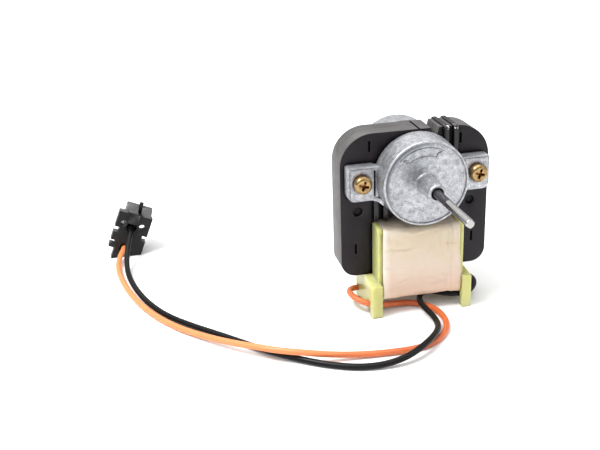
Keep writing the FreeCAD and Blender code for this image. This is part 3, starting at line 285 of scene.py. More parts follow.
blackRoute = [
    (16.6, 10.0, 4.2), (21.2, 10.0, 4.2), (24.4, 7.6, 4.9), (26.0, 4.0, 5.6), (26.0, -0.2, 5.7),
    (24.2, -3.8, 5.0), (21.0, -6.2, 4.1), (16.6, -6.3, 3.8), (12.2, -5.2, 4.0), (8.8, -3.3, 4.3),
    (5.4, -2.4, 4.7), (2.2, -3.5, 4.9), (-0.1, -6.6, 4.9), (-1.0, -10.6, 4.7), (-0.7, -15.0, 4.2),
    (0.9, -20.6, 3.2), (0.7, -26.4, 2.9), (-1.4, -32.4, 3.7), (-5.6, -38.4, 4.4), (-11.6, -43.8, 4.2),
    (-18.6, -47.4, 2.9), (-27.4, -48.2, 1.6), (-36.6, -46.8, 1.3), (-46.0, -42.4, 1.3),
    (-54.4, -36.8, 1.5), (-62.0, -31.2, 1.9), (-70.4, -21.8, 1.5), (-79.4, -11.2, 1.3),
    (-90.0, 0.0, 1.3), (-99.4, 11.4, 1.3), (-106.2, 25.2, 1.3), (-110.8, 40.4, 1.3),
    (-113.4, 54.6, 2.0), (-113.6, 64.0, 5.0), (-112.0, 71.8, 9.6), (-109.672, 80.0, 14.38),
    (-109.672, 85.0, 14.38),
]


def leadCurve(name, route):
    data = bpy.data.curves.new(name, "CURVE")
    data.dimensions = "3D"
    data.bevel_depth = 1.0  # the points' radius holds the size, because it is added to the curve's bounds
    data.bevel_resolution = leadSettings["roundness"]
    data.resolution_u = leadSettings["resolution"]
    data.use_fill_caps = True
    line = data.splines.new("NURBS")
    line.points.add(len(route) - 1)
    for point, (x, y, z) in zip(line.points, route):
        point.co = (x * mm, y * mm + coreFront, z * mm, 1)
        point.radius = leadSettings["radius"] * mm
    line.order_u = 3
    line.use_endpoint_u = True
    line.use_smooth = True
    item = bpy.data.objects.new(name, data)
    bpy.context.scene.collection.objects.link(item)
    return item


orangeLead = leadCurve("orangeLead", orangeRoute)
blackLead = leadCurve("blackLead", blackRoute)
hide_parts("orange_lead")
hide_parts("black_lead")
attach(orangeLead, "stator")
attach(blackLead, "stator")
print("leads laid")

# Covers of the leads

orangeCover, tree, shader, patches, bumps, gloss = paint(
    "orangeCover", (0.47, 0.09, 0.02), (0.61, 0.145, 0.04), 90.0, 1.4, 1400.0, 0.00001, 0.40, 0.2,
    Subsurface_Weight=0.3, Subsurface_Radius=(0.002, 0.0008, 0.0004), Subsurface_Scale=1.0, Specular_IOR_Level=0.45)
place = addNode(tree, "ShaderNodeTexCoord")
split = addNode(tree, "ShaderNodeSeparateXYZ", {0: (place, "Object")})
# lighter, paler orange towards the lead's far end, away from the motor
towardsFarEnd = addNode(tree, "ShaderNodeMapRange", {"Value": (split, "X"), "From Min": -0.01, "From Max": -0.075})
lighterFarOut = addNode(tree, "ShaderNodeMix", {"Factor": (towardsFarEnd, "Result"), 6: (patches, "Color"),
                                           7: (0.76, 0.26, 0.095, 1)}, data_type="RGBA")
connect(tree, lighterFarOut, 2, shader, "Base Color")
blackCover = paint("blackCover", (0.0025, 0.0025, 0.003), (0.006, 0.006, 0.0065), 110.0, 1.6, 1600.0, 0.000012, 0.34,
                   0.25, Specular_IOR_Level=0.16)[0]
orangeLead.data.materials.append(orangeCover)
blackLead.data.materials.append(blackCover)

# Core: black paint, thin on the cut edges of the sheets, with painted shade in its recesses

corePaint, tree, shader, patches, bumps, gloss = paint(
    "corePaint", (0.0065, 0.0045, 0.0065), (0.014, 0.0105, 0.0145), 70.0, 1.5, 900.0, 0.000012, 0.46, 0.2)
sheets = useGroup(tree, sheetGroup, {"Pitch": 0.00051, "Depth": 0.00003, "Normal": (bumps, "Normal")})
edgeTone = addNode(tree, "ShaderNodeMix", {"Factor": (sheets, "Line"), 6: (0.075, 0.072, 0.071, 1),
                                           7: (0.23, 0.22, 0.215, 1)}, data_type="RGBA")
worn = addNode(tree, "ShaderNodeMix", {"Factor": (patches, "Fac"), 6: (edgeTone, 2), 7: (0.045, 0.043, 0.043, 1)},
               data_type="RGBA")
byFace = addNode(tree, "ShaderNodeMix", {"Factor": (sheets, "Side"), 6: (patches, "Color"), 7: (worn, 2)},
                 data_type="RGBA")
# painted shade: the colour darkens where other surfaces stand close by, in dimples, marks and slots
recessShade = useGroup(tree, recessGroup, {"Reach": 0.0022, "Darkest": 0.04})
recessShadedTone = addNode(tree, "ShaderNodeMix", {"Factor": 1.0, 6: (byFace, 2), 7: (recessShade, "Level")}, data_type="RGBA",
                   blend_type="MULTIPLY")
shine = addNode(tree, "ShaderNodeMath", {0: (recessShade, "Level"), 1: 0.26}, operation="MULTIPLY")
connect(tree, recessShadedTone, 2, shader, "Base Color")
connect(tree, shine, 0, shader, "Specular IOR Level")
connect(tree, sheets, "Normal", shader, "Normal")
dress("stator_core", corePaint, 0.00018)
dress("coil_yoke", corePaint)

# Shading rings: black paint with bare chips on the edges; on the rings' tops towards the front the light chips are also
# painted highlights

ringPaint, tree, shader, patches, bumps, gloss = paint(
    "ringPaint", (0.002, 0.002, 0.002), (0.008, 0.0075, 0.0075), 300.0, 2.0, 1200.0, 0.00003, 0.24, 0.3,
    Specular_IOR_Level=0.42)
place = addNode(tree, "ShaderNodeTexCoord")
flecks = addNode(tree, "ShaderNodeTexNoise", {"Vector": (place, "Object"), "Scale": 900.0, "Detail": 3.0,
                                              "Roughness": 0.7})
chipAndGlintFlecks = curve(tree, flecks, "Fac", [(0.57, grey(0)), (0.60, grey(1))])
split = addNode(tree, "ShaderNodeSeparateXYZ", {0: (place, "Object")})
high = addNode(tree, "ShaderNodeMath", {0: (split, "Z"), 1: 0.0716}, operation="GREATER_THAN")
front = addNode(tree, "ShaderNodeMath", {0: (split, "Y"), 1: 0.0146}, operation="LESS_THAN")
where = addNode(tree, "ShaderNodeMath", {0: (high, 0), 1: (front, 0)}, operation="MULTIPLY")
# light chips and painted highlights, kept to the rings' tops towards the front
bareAndGlintMask = addNode(tree, "ShaderNodeMath", {0: (chipAndGlintFlecks, 0), 1: (where, 0)}, operation="MULTIPLY")
chippedAndGlinting = addNode(tree, "ShaderNodeMix", {"Factor": (bareAndGlintMask, 0), 6: (patches, "Color"), 7: (0.80, 0.78, 0.76, 1)},
                  data_type="RGBA")
connect(tree, chippedAndGlinting, 2, shader, "Base Color")
connect(tree, bareAndGlintMask, 0, shader, "Metallic")
for node in ("shading_ring_upper_inner", "shading_ring_upper_outer", "shading_ring_lower_inner",
             "shading_ring_lower_outer"):
    dress(node, ringPaint, 0.00035, 3)

# Castings: dull metal with a mottled, slightly pitted skin, painted shade in the recesses, a painted shadow beside the
# nose and a painted shade inside the lip

castingSettings = {"noseShadow": (-0.0048, coreFront - 0.0140, 0.0585), "noseShadowReach": 0.0062, "noseShadowLevel": 0.5,
                   "lipInside": 15.85, "shadeSide": (-0.82, 0.0, 0.57)}
castingMetal, tree, shader, patches, bumps, gloss = paint(
    "castingMetal", (0.34, 0.35, 0.375), (0.66, 0.67, 0.695), 620.0, 3.2, 1300.0, 0.00005, 0.42, 0.24,
    Metallic=0.78, Specular_IOR_Level=0.5)
place = addNode(tree, "ShaderNodeTexCoord")
pits = addNode(tree, "ShaderNodeTexVoronoi", {"Vector": (place, "Object"), "Scale": 1500.0})
pitTone = curve(tree, pits, "Distance", [(0.05, grey(0.72)), (0.45, grey(1.0))])
spots = addNode(tree, "ShaderNodeTexNoise", {"Vector": (place, "Object"), "Scale": 2600.0, "Detail": 3.0,
                                             "Roughness": 0.65})
spotTone = curve(tree, spots, "Fac", [(0.36, grey(0.50)), (0.60, grey(1.0))])
both = addNode(tree, "ShaderNodeMix", {"Factor": 1.0, 6: (pitTone, 0), 7: (spotTone, 0)}, data_type="RGBA",
               blend_type="MULTIPLY")
mottled = addNode(tree, "ShaderNodeMix", {"Factor": 0.8, 6: (patches, "Color"), 7: (both, 2)}, data_type="RGBA",
                  blend_type="MULTIPLY")
# painted shade where other surfaces stand close by
recessShade = useGroup(tree, recessGroup, {"Reach": 0.0016, "Darkest": 0.25})
recessShadedCasting = addNode(tree, "ShaderNodeMix", {"Factor": 1.0, 6: (mottled, 2), 7: (recessShade, "Level")}, data_type="RGBA",
                blend_type="MULTIPLY")
# painted shadow: darker towards a point beside the nose
beside = addNode(tree, "ShaderNodeVectorMath", {0: (place, "Object"), 1: castingSettings["noseShadow"]},
                 operation="DISTANCE")
noseShadowShare = addNode(tree, "ShaderNodeMapRange", {
    "Value": (beside, "Value"), "From Min": castingSettings["noseShadowReach"], "From Max": 0.0, "To Min": 1.0,
    "To Max": castingSettings["noseShadowLevel"]})
noseShadowed = addNode(tree, "ShaderNodeMix", {"Factor": 1.0, 6: (recessShadedCasting, 2), 7: (noseShadowShare, "Result")}, data_type="RGBA",
                  blend_type="MULTIPLY")
flattened = addNode(tree, "ShaderNodeVectorMath", {0: (place, "Object"), 1: (1.0, 0.0, 1.0),
                                                   2: (0.0, 0.0, -shaftHeight)}, operation="MULTIPLY_ADD")
reach = addNode(tree, "ShaderNodeVectorMath", {0: (flattened, "Vector")}, operation="LENGTH")
share = addNode(tree, "ShaderNodeMath", {0: (reach, "Value"), 1: castingSettings["lipInside"] * mm}, operation="DIVIDE")
band = curve(tree, share, 0, [(0.88, grey(0)), (0.955, grey(1)), (0.995, grey(1)), (1.0, grey(0))])
heading = addNode(tree, "ShaderNodeVectorMath", {0: (flattened, "Vector")}, operation="NORMALIZE")
towards = addNode(tree, "ShaderNodeVectorMath", {0: (heading, "Vector"), 1: castingSettings["shadeSide"]},
                  operation="DOT_PRODUCT")
sector = addNode(tree, "ShaderNodeMapRange", {"Value": (towards, "Value"), "From Min": 0.25, "From Max": 0.85})
where = addNode(tree, "ShaderNodeMath", {0: (band, 0), 1: (sector, "Result")}, operation="MULTIPLY")
shade = addNode(tree, "ShaderNodeMix", {"Factor": (where, 0), 6: (noseShadowed, 2), 7: (0.13, 0.14, 0.16, 1)},
                data_type="RGBA")
connect(tree, shade, 2, shader, "Base Color")
pitRise = addNode(tree, "ShaderNodeBump", {"Strength": 0.6, "Distance": 0.00003, "Height": (pits, "Distance"),
                                           "Normal": (bumps, "Normal")})
connect(tree, pitRise, "Normal", shader, "Normal")
for node in ("front_bracket", "rear_bracket"):
    dress(node, castingMetal, 0.00016)


# Banner outline, cast on the front bell

bannerSettings = {"inner": 10.4, "outer": 13.6, "start": 67.0, "end": 130.0, "tail": 6.0, "steps": 14, "width": 0.55,
                  "height": 0.38, "face": -12.8, "sink": 0.05}


def around(radius, degrees):
    angle = math.radians(degrees)
    return Vector((radius * math.cos(angle), radius * math.sin(angle)))


# A closed raised line with sloping sides on a plane that faces -Y, along an outline counted from the shaft.
def ridge(name, outline, width, height, base, sink):
    count = len(outline)
    vertices = []
    for i, point in enumerate(outline):
        ahead = (outline[(i + 1) % count] - point).normalized()
        behind = (point - outline[i - 1]).normalized()
        side = Vector((-(ahead + behind).y, (ahead + behind).x)).normalized()
        stretch = 1 / max(0.4, side.dot(Vector((-ahead.y, ahead.x))))
        for reach, lift in ((0.5, -sink), (0.28, height), (-0.28, height), (-0.5, -sink)):
            spot = point + side * (reach * width * stretch)
            vertices.append((spot.x * mm, (base - lift) * mm + coreFront, spot.y * mm + shaftHeight))
    faces = []
    for i in range(count):
        here = 4 * i
        ahead = 4 * ((i + 1) % count)
        for k in range(4):
            following = (k + 1) % 4
            faces.append((here + k, here + following, ahead + following, ahead + k))
    mesh = bpy.data.meshes.new(name)
    mesh.from_pydata(vertices, [], faces)
    item = bpy.data.objects.new(name, mesh)
    bpy.context.scene.collection.objects.link(item)
    return item


span = bannerSettings["end"] - bannerSettings["start"]
outline = [around(bannerSettings["inner"], bannerSettings["start"] + span * i / bannerSettings["steps"])
           for i in range(bannerSettings["steps"] + 1)]
outline.append(around((bannerSettings["inner"] + bannerSettings["outer"]) / 2, bannerSettings["end"] - 1))
outline += [around(bannerSettings["outer"], bannerSettings["end"] + bannerSettings["tail"]
                   - (span + 2 * bannerSettings["tail"]) * i / bannerSettings["steps"])
            for i in range(bannerSettings["steps"] + 1)]
outline.append(around((bannerSettings["inner"] + bannerSettings["outer"]) / 2, bannerSettings["start"] + 1))
banner = ridge("banner", outline, bannerSettings["width"], bannerSettings["height"], bannerSettings["face"],
               bannerSettings["sink"])
banner.data.materials.append(castingMetal)
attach(banner, "stator")


# Webs below the ears, cast between ear and bell

# A small tapered rib from the lower inner corner of an ear to the flank of the bell.
def web(name, side):
    corners = []
    for x, front, high, low in ((18.6, -5.25, 48.9, 47.5), (16.6, -5.6, 48.5, 46.9), (14.9, -7.4, 48.1, 45.6)):
        corners += [(side * x, front, high), (side * x, front, low), (side * x, -2.2, low), (side * x, -2.2, high)]
    faces = [(0, 1, 2, 3), (11, 10, 9, 8)]
    for start in (0, 4):
        for k in range(4):
            following = (k + 1) % 4
            faces.append((start + k, start + 4 + k, start + 4 + following, start + following))
    if side > 0:
        faces = [face[::-1] for face in faces]
    mesh = bpy.data.meshes.new(name)
    mesh.from_pydata([(x * mm, y * mm + coreFront, z * mm) for x, y, z in corners], [], faces)
    item = bpy.data.objects.new(name, mesh)
    bpy.context.scene.collection.objects.link(item)
    rounding = item.modifiers.new("edges", "BEVEL")
    rounding.width = 0.00018
    rounding.segments = 2
    item.data.materials.append(castingMetal)
    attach(item, "stator")


for name, side in (("webLeft", -1), ("webRight", 1)):
    web(name, side)

# Screws: yellow-passivated zinc, with a dark brown painted shade deep in the recess

zincScrew, tree, shader, patches, bumps, gloss = paint(
    "zincScrew", (0.20, 0.12, 0.045), (0.46, 0.32, 0.15), 420.0, 3.0, 1500.0, 0.00001, 0.26, 0.2, Metallic=1.0)
# painted shade: dark brown where other surfaces stand close by, deep in the cross recess
recessShade = useGroup(tree, recessGroup, {"Reach": 0.0013, "Darkest": 0.0})
recessShadedScrew = addNode(tree, "ShaderNodeMix", {"Factor": (recessShade, "Level"), 6: (0.26, 0.06, 0.012, 1),
                                       7: (patches, "Color")}, data_type="RGBA")
connect(tree, recessShadedScrew, 2, shader, "Base Color")
for node in ("bracket_screw_left", "bracket_screw_right"):
    dress(node, zincScrew, 0.00012)

# Bobbin: natural nylon that lets light in

bobbinNylon = paint("bobbinNylon", (0.55, 0.55, 0.19), (0.72, 0.72, 0.35), 90.0, 2.0, 500.0, 0.000015, 0.32, 0.18,
                    Subsurface_Weight=1.0, Subsurface_Radius=(1.0, 0.92, 0.35), Subsurface_Scale=0.0045,
                    Transmission_Weight=0.25, IOR=1.45)[0]
dress("bobbin", bobbinNylon, 0.0002)

# Winding, hidden under the tape

windingEnamel = paint("windingEnamel", (0.42, 0.13, 0.04), (0.62, 0.24, 0.08), 200.0, 2.0, 2500.0, 0.00003, 0.25, 0.2,
                      Metallic=0.7)[0]
dress("coil_winding", windingEnamel)

# Tape: one creased turn of cloth tape round the winding, with an overlapping strip on the right

tapeSettings = {
    "thickness": 0.5, "corner": 2.5, "overhang": 0.12, "edge": 0.1, "hem": 1.4, "across": 120, "along": 360,
    "wander": 0.24, "strip": 11.9, "stripStep": 0.22, "looseRise": 0.16, "foldRise": 0.6, "rounding": 0.22,
    "spreadLeft": 0.3, "spreadRight": 0.95,
    # left, right, height, slope, depth and width of each crease across the front
    "creases": [
        (-15.3, -2.0, 27.9, -0.7, 0.26, 0.50), (-11.5, 1.0, 27.2, 0.9, 0.16, 0.44),
        (-15.3, -12.0, 20.2, -0.3, 0.24, 0.50), (3.4, 6.0, 36.0, -2.6, 0.30, 0.50),
        (9.3, 14.6, 27.9, -0.5, -0.34, 0.45), (-14.4, -8.0, 32.4, -2.4, 0.34, 0.9),
        (-10.0, -4.0, 34.0, -1.2, 0.30, 0.9), (-2.0, 3.0, 33.0, 0.6, 0.24, 0.9),
        (-9.5, -4.5, 13.6, 1.8, 0.20, 0.7), (3.0, 10.0, 11.0, 1.2, 0.24, 0.8),
        (8.2, 12.0, 14.8, -0.6, 0.20, 0.6), (-6.0, 4.0, 24.6, 0.4, 0.10, 0.6),
        (-15.3, -6.0, 23.8, 0.3, 0.11, 0.6), (-4.0, 8.0, 30.0, -0.5, 0.14, 0.7),
        (-15.0, -9.0, 10.4, 1.0, 0.24, 0.9),
    ],
    # place across, lower end, upper end, depth and width of each upright tuck
    "tucks": [(10.4, 24.0, 35.0, 0.24, 0.5), (-13.0, 29.0, 35.6, 0.30, 0.8), (10.0, 8.0, 15.0, 0.24, 0.6),
              (6.9, 28.0, 33.0, 0.20, 0.7), (12.8, 29.0, 36.0, -0.22, 0.6)],
}
tapeLow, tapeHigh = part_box("coil_tape")


# Points and outward directions once round the coil, in its section across X, equally spaced.
def tapeTurn(settings):
    y0, y1, z0, z1 = tapeLow.y, tapeHigh.y, tapeLow.z, tapeHigh.z
    r = settings["corner"] * mm
    centres = [(y0 + r, z0 + r, 180), (y1 - r, z0 + r, 270), (y1 - r, z1 - r, 0), (y0 + r, z1 - r, 90)]
    path = []
    for cy, cz, first in centres:
        for i in range(9):
            angle = math.radians(first + 90 * i / 8)
            path.append((Vector((cy + r * math.cos(angle), cz + r * math.sin(angle))),
                         Vector((math.cos(angle), math.sin(angle)))))
    lengths = [0.0]
    for (a, _), (b, _) in zip(path, path[1:] + path[:1]):
        lengths.append(lengths[-1] + (b - a).length)
    points = []
    piece = 0
    for i in range(settings["along"]):
        want = lengths[-1] * i / settings["along"]
        while lengths[piece + 1] < want:
            piece += 1
        share = (want - lengths[piece]) / (lengths[piece + 1] - lengths[piece])
        (a, outA), (b, outB) = path[piece], path[(piece + 1) % len(path)]
        points.append((a.lerp(b, share), outA.lerp(outB, share).normalized()))
    return points


def smoothStep(low, high, value):
    share = min(1.0, max(0.0, (value - low) / (high - low)))
    return share * share * (3 - 2 * share)


# Rise of the tape in mm at a point given in mm, from wrinkles, the overlapping strip and the loose ends.
def tapeLift(settings, x, y, z, out):
    rise = settings["wander"] * (noise.noise(Vector((x * 0.16, y * 0.16, z * 0.16))) * 1.3
                                 + noise.noise(Vector((x * 0.5, y * 0.3 + 7, z * 0.9))) * 0.5)
    isFront = smoothStep(0.5, 0.95, -out.x)
    for left, right, height, slope, depth, width in settings["creases"]:
        share = (x - left) / (right - left)
        if -0.2 < share < 1.2:
            wave = 0.35 * noise.noise(Vector((x * 0.35, height, 3.0)))
            away = (z - height - slope * share - wave) / width
            fade = smoothStep(-0.15, 0.12, share) * smoothStep(-0.15, 0.25, 1 - share)
            rise += isFront * fade * depth * (0.7 * math.exp(-(away - 1.1) ** 2) - math.exp(-away ** 2))
    for across, low, high, depth, width in settings["tucks"]:
        wave = 0.3 * noise.noise(Vector((across, z * 0.4, 5.0)))
        away = (x - across - wave) / width
        fade = smoothStep(low - 1, low + 2, z) * smoothStep(high + 1, high - 2, z) if high > low else 0
        rise += isFront * fade * depth * (0.6 * math.exp(-(away - 1.2) ** 2) - math.exp(-away ** 2))
    edge = settings["strip"] + 0.25 * noise.noise(Vector((2.0, y * 0.2, z * 0.25)))
    rise += settings["stripStep"] * smoothStep(edge - 0.12, edge + 0.12, x)
    loose = smoothStep(13.6, 15.3, abs(x))
    rise += loose * settings["looseRise"] * noise.noise(Vector((x, y * 0.35, z * 0.35)))
    topLeft = smoothStep(-11.5, -15.3, x) * smoothStep(31.5, 35.5, z) * smoothStep(-0.2, 0.6, -out.x)
    return rise + settings["foldRise"] * topLeft


def creasedTape(settings):
    turn = tapeTurn(settings)
    half = (tapeHigh.x - tapeLow.x) / 2 / mm + settings["overhang"]
    inner = half - settings["edge"]
    columns = [-half] + [inner * (2 * j / settings["across"] - 1) for j in range(settings["across"] + 1)] + [half]
    count = len(columns)
    rows = len(turn)
    vertices = []
    for inside in (False, True):
        for point, out in turn:
            y = (point.x - coreFront) / mm
            z = point.y / mm
            front = smoothStep(-8.5, -9.3, y)
            for j, x in enumerate(columns):
                depth = settings["hem"] if j < 2 or j > count - 3 else settings["thickness"]
                rounded = settings["rounding"] * smoothStep(inner - 0.7, half, abs(x)) ** 2
                lift = tapeLift(settings, x, y, z, out) - rounded - (depth if inside else 0)
                if x < 0:
                    spread = -settings["spreadLeft"] * smoothStep(-11.0, -half, x)
                else:
                    spread = settings["spreadRight"] * smoothStep(27.0, 15.0, z) * smoothStep(10.0, half, x)
                spot = point + out * (lift * mm)
                vertices.append(((x + front * spread) * mm, spot.x, spot.y))
    faces = []
    skin = rows * count
    for i in range(rows):
        following = (i + 1) % rows
        for j in range(count - 1):
            a, b = i * count + j, following * count + j
            faces.append((a, b, b + 1, a + 1))
            faces.append((skin + a, skin + a + 1, skin + b + 1, skin + b))
        for j, flip in ((count - 1, True), (0, False)):
            a, b = i * count + j, following * count + j
            faces.append((a, b, skin + b, skin + a) if flip else (a, skin + a, skin + b, b))
    mesh = bpy.data.meshes.new("creasedTape")
    mesh.from_pydata(vertices, [], faces)
    mesh.polygons.foreach_set("use_smooth", [True] * len(mesh.polygons))
    item = bpy.data.objects.new("creasedTape", mesh)
    bpy.context.scene.collection.objects.link(item)
    return item


tape = creasedTape(tapeSettings)
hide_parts("coil_tape")
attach(tape, "stator")
tapeCloth, tree, shader, patches, bumps, gloss = paint(
    "tapeCloth", (0.48, 0.40, 0.29), (0.60, 0.50, 0.41), 80.0, 2.2, 1800.0, 0.000015, 0.44, 0.22,
    Subsurface_Weight=0.2, Subsurface_Radius=(1.0, 0.55, 0.35), Subsurface_Scale=0.0009)
place = addNode(tree, "ShaderNodeTexCoord")
threads = addNode(tree, "ShaderNodeTexWave", {"Vector": (place, "Object"), "Scale": 900.0, "Distortion": 1.5,
                                              "Detail": 1.0}, bands_direction="X")
weave = addNode(tree, "ShaderNodeTexWave", {"Vector": (place, "Object"), "Scale": 900.0, "Distortion": 1.5,
                                            "Detail": 1.0}, bands_direction="Z")
crossed = addNode(tree, "ShaderNodeMath", {0: (threads, "Fac"), 1: (weave, "Fac")}, operation="ADD")
clothRise = addNode(tree, "ShaderNodeBump", {"Strength": 0.5, "Distance": 0.00002, "Height": (crossed, 0),
                                             "Normal": (bumps, "Normal")})
connect(tree, clothRise, "Normal", shader, "Normal")
stain = addNode(tree, "ShaderNodeTexNoise", {"Vector": (place, "Object"), "Scale": 45.0, "Detail": 3.0})
stainShare = curve(tree, stain, "Fac", [(0.5, grey(0)), (0.75, grey(0.5))])
split = addNode(tree, "ShaderNodeSeparateXYZ", {0: (place, "Object")})
wavy = addNode(tree, "ShaderNodeMath", {0: (stain, "Fac"), 1: 0.022, 2: (split, "Z")}, operation="MULTIPLY_ADD")
rung = addNode(tree, "ShaderNodeMapRange", {"Value": (wavy, 0), "From Min": 0.014, "From Max": 0.050})
byHeight = curve(tree, rung, "Result", [
    (0.0, (0.66, 0.42, 0.29)), (0.22, (0.68, 0.49, 0.39)), (0.48, (0.68, 0.57, 0.48)), (0.72, (0.64, 0.54, 0.38)),
    (1.0, (0.56, 0.50, 0.43))])
tinted = addNode(tree, "ShaderNodeMix", {"Factor": 0.65, 6: (patches, "Color"), 7: (byHeight, 0)}, data_type="RGBA")
leftEdge = addNode(tree, "ShaderNodeMapRange", {"Value": (split, "X"), "From Min": -0.0125, "From Max": -0.0155,
                                                "To Max": 0.6})
paler = addNode(tree, "ShaderNodeMix", {"Factor": (leftEdge, "Result"), 6: (tinted, 2), 7: (0.80, 0.74, 0.66, 1)},
                data_type="RGBA")
stained = addNode(tree, "ShaderNodeMix", {"Factor": (stainShare, 0), 6: (paler, 2), 7: (0.64, 0.46, 0.33, 1)},
                  data_type="RGBA")
# painted shade in the creases and where other parts stand close by
recessShade = useGroup(tree, recessGroup, {"Reach": 0.0012, "Darkest": 0.72})
shaded = addNode(tree, "ShaderNodeMix", {"Factor": 1.0, 6: (stained, 2), 7: (recessShade, "Level")}, data_type="RGBA",
                 blend_type="MULTIPLY")
connect(tree, shaded, 2, shader, "Base Color")
tape.data.materials.append(tapeCloth)

# Shaft: bright ground steel, dull and rough near the nose, with a painted dark reflection along its lower left side

shaftSettings = {"dullEnd": -36.3, "blend": 0.6, "shadeStripSide": (-0.88, 0.0, -0.47), "shadeStripEnd": -54.0}
shaftSteel, tree, shader, patches, bumps, gloss = paint(
    "shaftSteel", (0.36, 0.35, 0.345), (0.54, 0.53, 0.52), 160.0, 2.0, 1400.0, 0.000004, 0.20, 0.15, Metallic=1.0)
place = addNode(tree, "ShaderNodeTexCoord")
split = addNode(tree, "ShaderNodeSeparateXYZ", {0: (place, "Object")})
limit = shaftSettings["dullEnd"] * mm + coreFront
dull = addNode(tree, "ShaderNodeMapRange", {"Value": (split, "Y"), "From Min": limit - shaftSettings["blend"] * mm / 2,
                                            "From Max": limit + shaftSettings["blend"] * mm / 2})
scale = addNode(tree, "ShaderNodeTexNoise", {"Vector": (place, "Object"), "Scale": 1500.0, "Detail": 4.0,
                                             "Roughness": 0.7})
scaleTone = curve(tree, scale, "Fac", [(0.35, (0.03, 0.029, 0.032)), (0.7, (0.17, 0.165, 0.18))])
# painted dark reflection: a dark strip along the lower left side of the shaft, narrowing towards the tip
facing = addNode(tree, "ShaderNodeVectorMath", {0: (place, "Normal"), 1: shaftSettings["shadeStripSide"]},
                 operation="DOT_PRODUCT")
narrowing = addNode(tree, "ShaderNodeMapRange", {
    "Value": (split, "Y"), "From Min": shaftSettings["shadeStripEnd"] * mm + coreFront, "From Max": limit,
    "To Min": 0.74, "To Max": 0.32})
beyond = addNode(tree, "ShaderNodeMath", {0: (facing, "Value"), 1: (narrowing, "Result")}, operation="SUBTRACT")
strip = addNode(tree, "ShaderNodeMapRange", {"Value": (beyond, 0), "From Min": 0.0, "From Max": 0.05})
dark = addNode(tree, "ShaderNodeMath", {0: (dull, 0), 1: (strip, "Result")}, operation="MAXIMUM")
toned = addNode(tree, "ShaderNodeMix", {"Factor": (dark, 0), 6: (patches, "Color"), 7: (scaleTone, 0)},
                data_type="RGBA")
rougher = addNode(tree, "ShaderNodeMath", {0: (dull, 0), 1: 0.25, 2: (gloss, "Roughness")}, operation="MULTIPLY_ADD")
scaleRise = addNode(tree, "ShaderNodeMath", {0: (dull, 0), 1: (scale, "Fac")}, operation="MULTIPLY")
scaleBump = addNode(tree, "ShaderNodeBump", {"Strength": 0.8, "Distance": 0.00004, "Height": (scaleRise, 0),
                                             "Normal": (bumps, "Normal")})
connect(tree, toned, 2, shader, "Base Color")
connect(tree, rougher, 0, shader, "Roughness")
connect(tree, scaleBump, "Normal", shader, "Normal")
dress("shaft", shaftSteel, 0.00012, 3)

# Rotor, bearings, felt and small pieces inside

rotorSteel = paint("rotorSteel", (0.20, 0.19, 0.19), (0.36, 0.35, 0.34), 180.0, 2.0, 900.0, 0.00001, 0.4, 0.2,
                   Metallic=0.9)[0]
cageMetal = paint("cageMetal", (0.55, 0.56, 0.57), (0.75, 0.76, 0.78), 240.0, 2.4, 800.0, 0.00002, 0.42, 0.2,
                  Metallic=0.85)[0]
bronze = paint("bronze", (0.45, 0.28, 0.12), (0.62, 0.42, 0.20), 500.0, 2.4, 2400.0, 0.00001, 0.4, 0.2, Metallic=0.9)[0]
felt = paint("felt", (0.30, 0.24, 0.16), (0.52, 0.44, 0.32), 700.0, 2.4, 2600.0, 0.00008, 0.95, 0.1)[0]
springSteel = paint("springSteel", (0.42, 0.42, 0.42), (0.62, 0.62, 0.62), 200.0, 2.0, 1500.0, 0.000006, 0.3, 0.2,
                    Metallic=1.0)[0]
washerPlastic = paint("washerPlastic", (0.66, 0.63, 0.55), (0.80, 0.78, 0.70), 200.0, 1.6, 900.0, 0.00001, 0.5, 0.2)[0]
tinnedBrass = paint("tinnedBrass", (0.52, 0.50, 0.46), (0.74, 0.72, 0.68), 400.0, 2.0, 1800.0, 0.000006, 0.28, 0.2,
                    Metallic=1.0)[0]
for node, material in {
    "rotor_core": rotorSteel, "rotor_cage": cageMetal, "front_bearing": bronze, "rear_bearing": bronze,
    "front_oil_felt": felt, "rear_oil_felt": felt, "front_bearing_retainer": springSteel,
    "rear_bearing_retainer": springSteel, "front_rotor_spacer": washerPlastic, "rear_rotor_spacer": washerPlastic,
    "front_thrust_washer": washerPlastic, "rear_thrust_washer": washerPlastic, "lead_splice_left": tinnedBrass,
    "lead_splice_right": tinnedBrass, "connector_contact_upper": tinnedBrass, "connector_contact_lower": tinnedBrass,
}.items():
    dress(node, material)

# Connector: black nylon, with painted top light on its upward faces, uneven in patches, and painted shade in its
# recesses

connectorNylon, tree, shader, patches, bumps, gloss = paint(
    "connectorNylon", (0.0025, 0.0025, 0.003), (0.008, 0.0078, 0.0078), 160.0, 2.0, 900.0, 0.00003, 0.46, 0.25,
    Specular_IOR_Level=0.28)
place = addNode(tree, "ShaderNodeTexCoord")
normalParts = addNode(tree, "ShaderNodeSeparateXYZ", {0: (place, "Normal")})
# painted top light: upward faces lighter, unevenly in patches
upward = addNode(tree, "ShaderNodeMapRange", {"Value": (normalParts, "Z"), "From Min": 0.2, "From Max": 0.85})
patchyTopLight = addNode(tree, "ShaderNodeMath", {0: (upward, "Result"), 1: (patches, "Fac")}, operation="MULTIPLY")
paintedTopLight = addNode(tree, "ShaderNodeMath", {0: (upward, "Result"), 1: 0.65, 2: (patchyTopLight, 0)}, operation="MULTIPLY_ADD",
                use_clamp=True)
toned = addNode(tree, "ShaderNodeMix", {"Factor": (paintedTopLight, 0), 6: (patches, "Color"), 7: (0.085, 0.082, 0.082, 1)},
                data_type="RGBA")
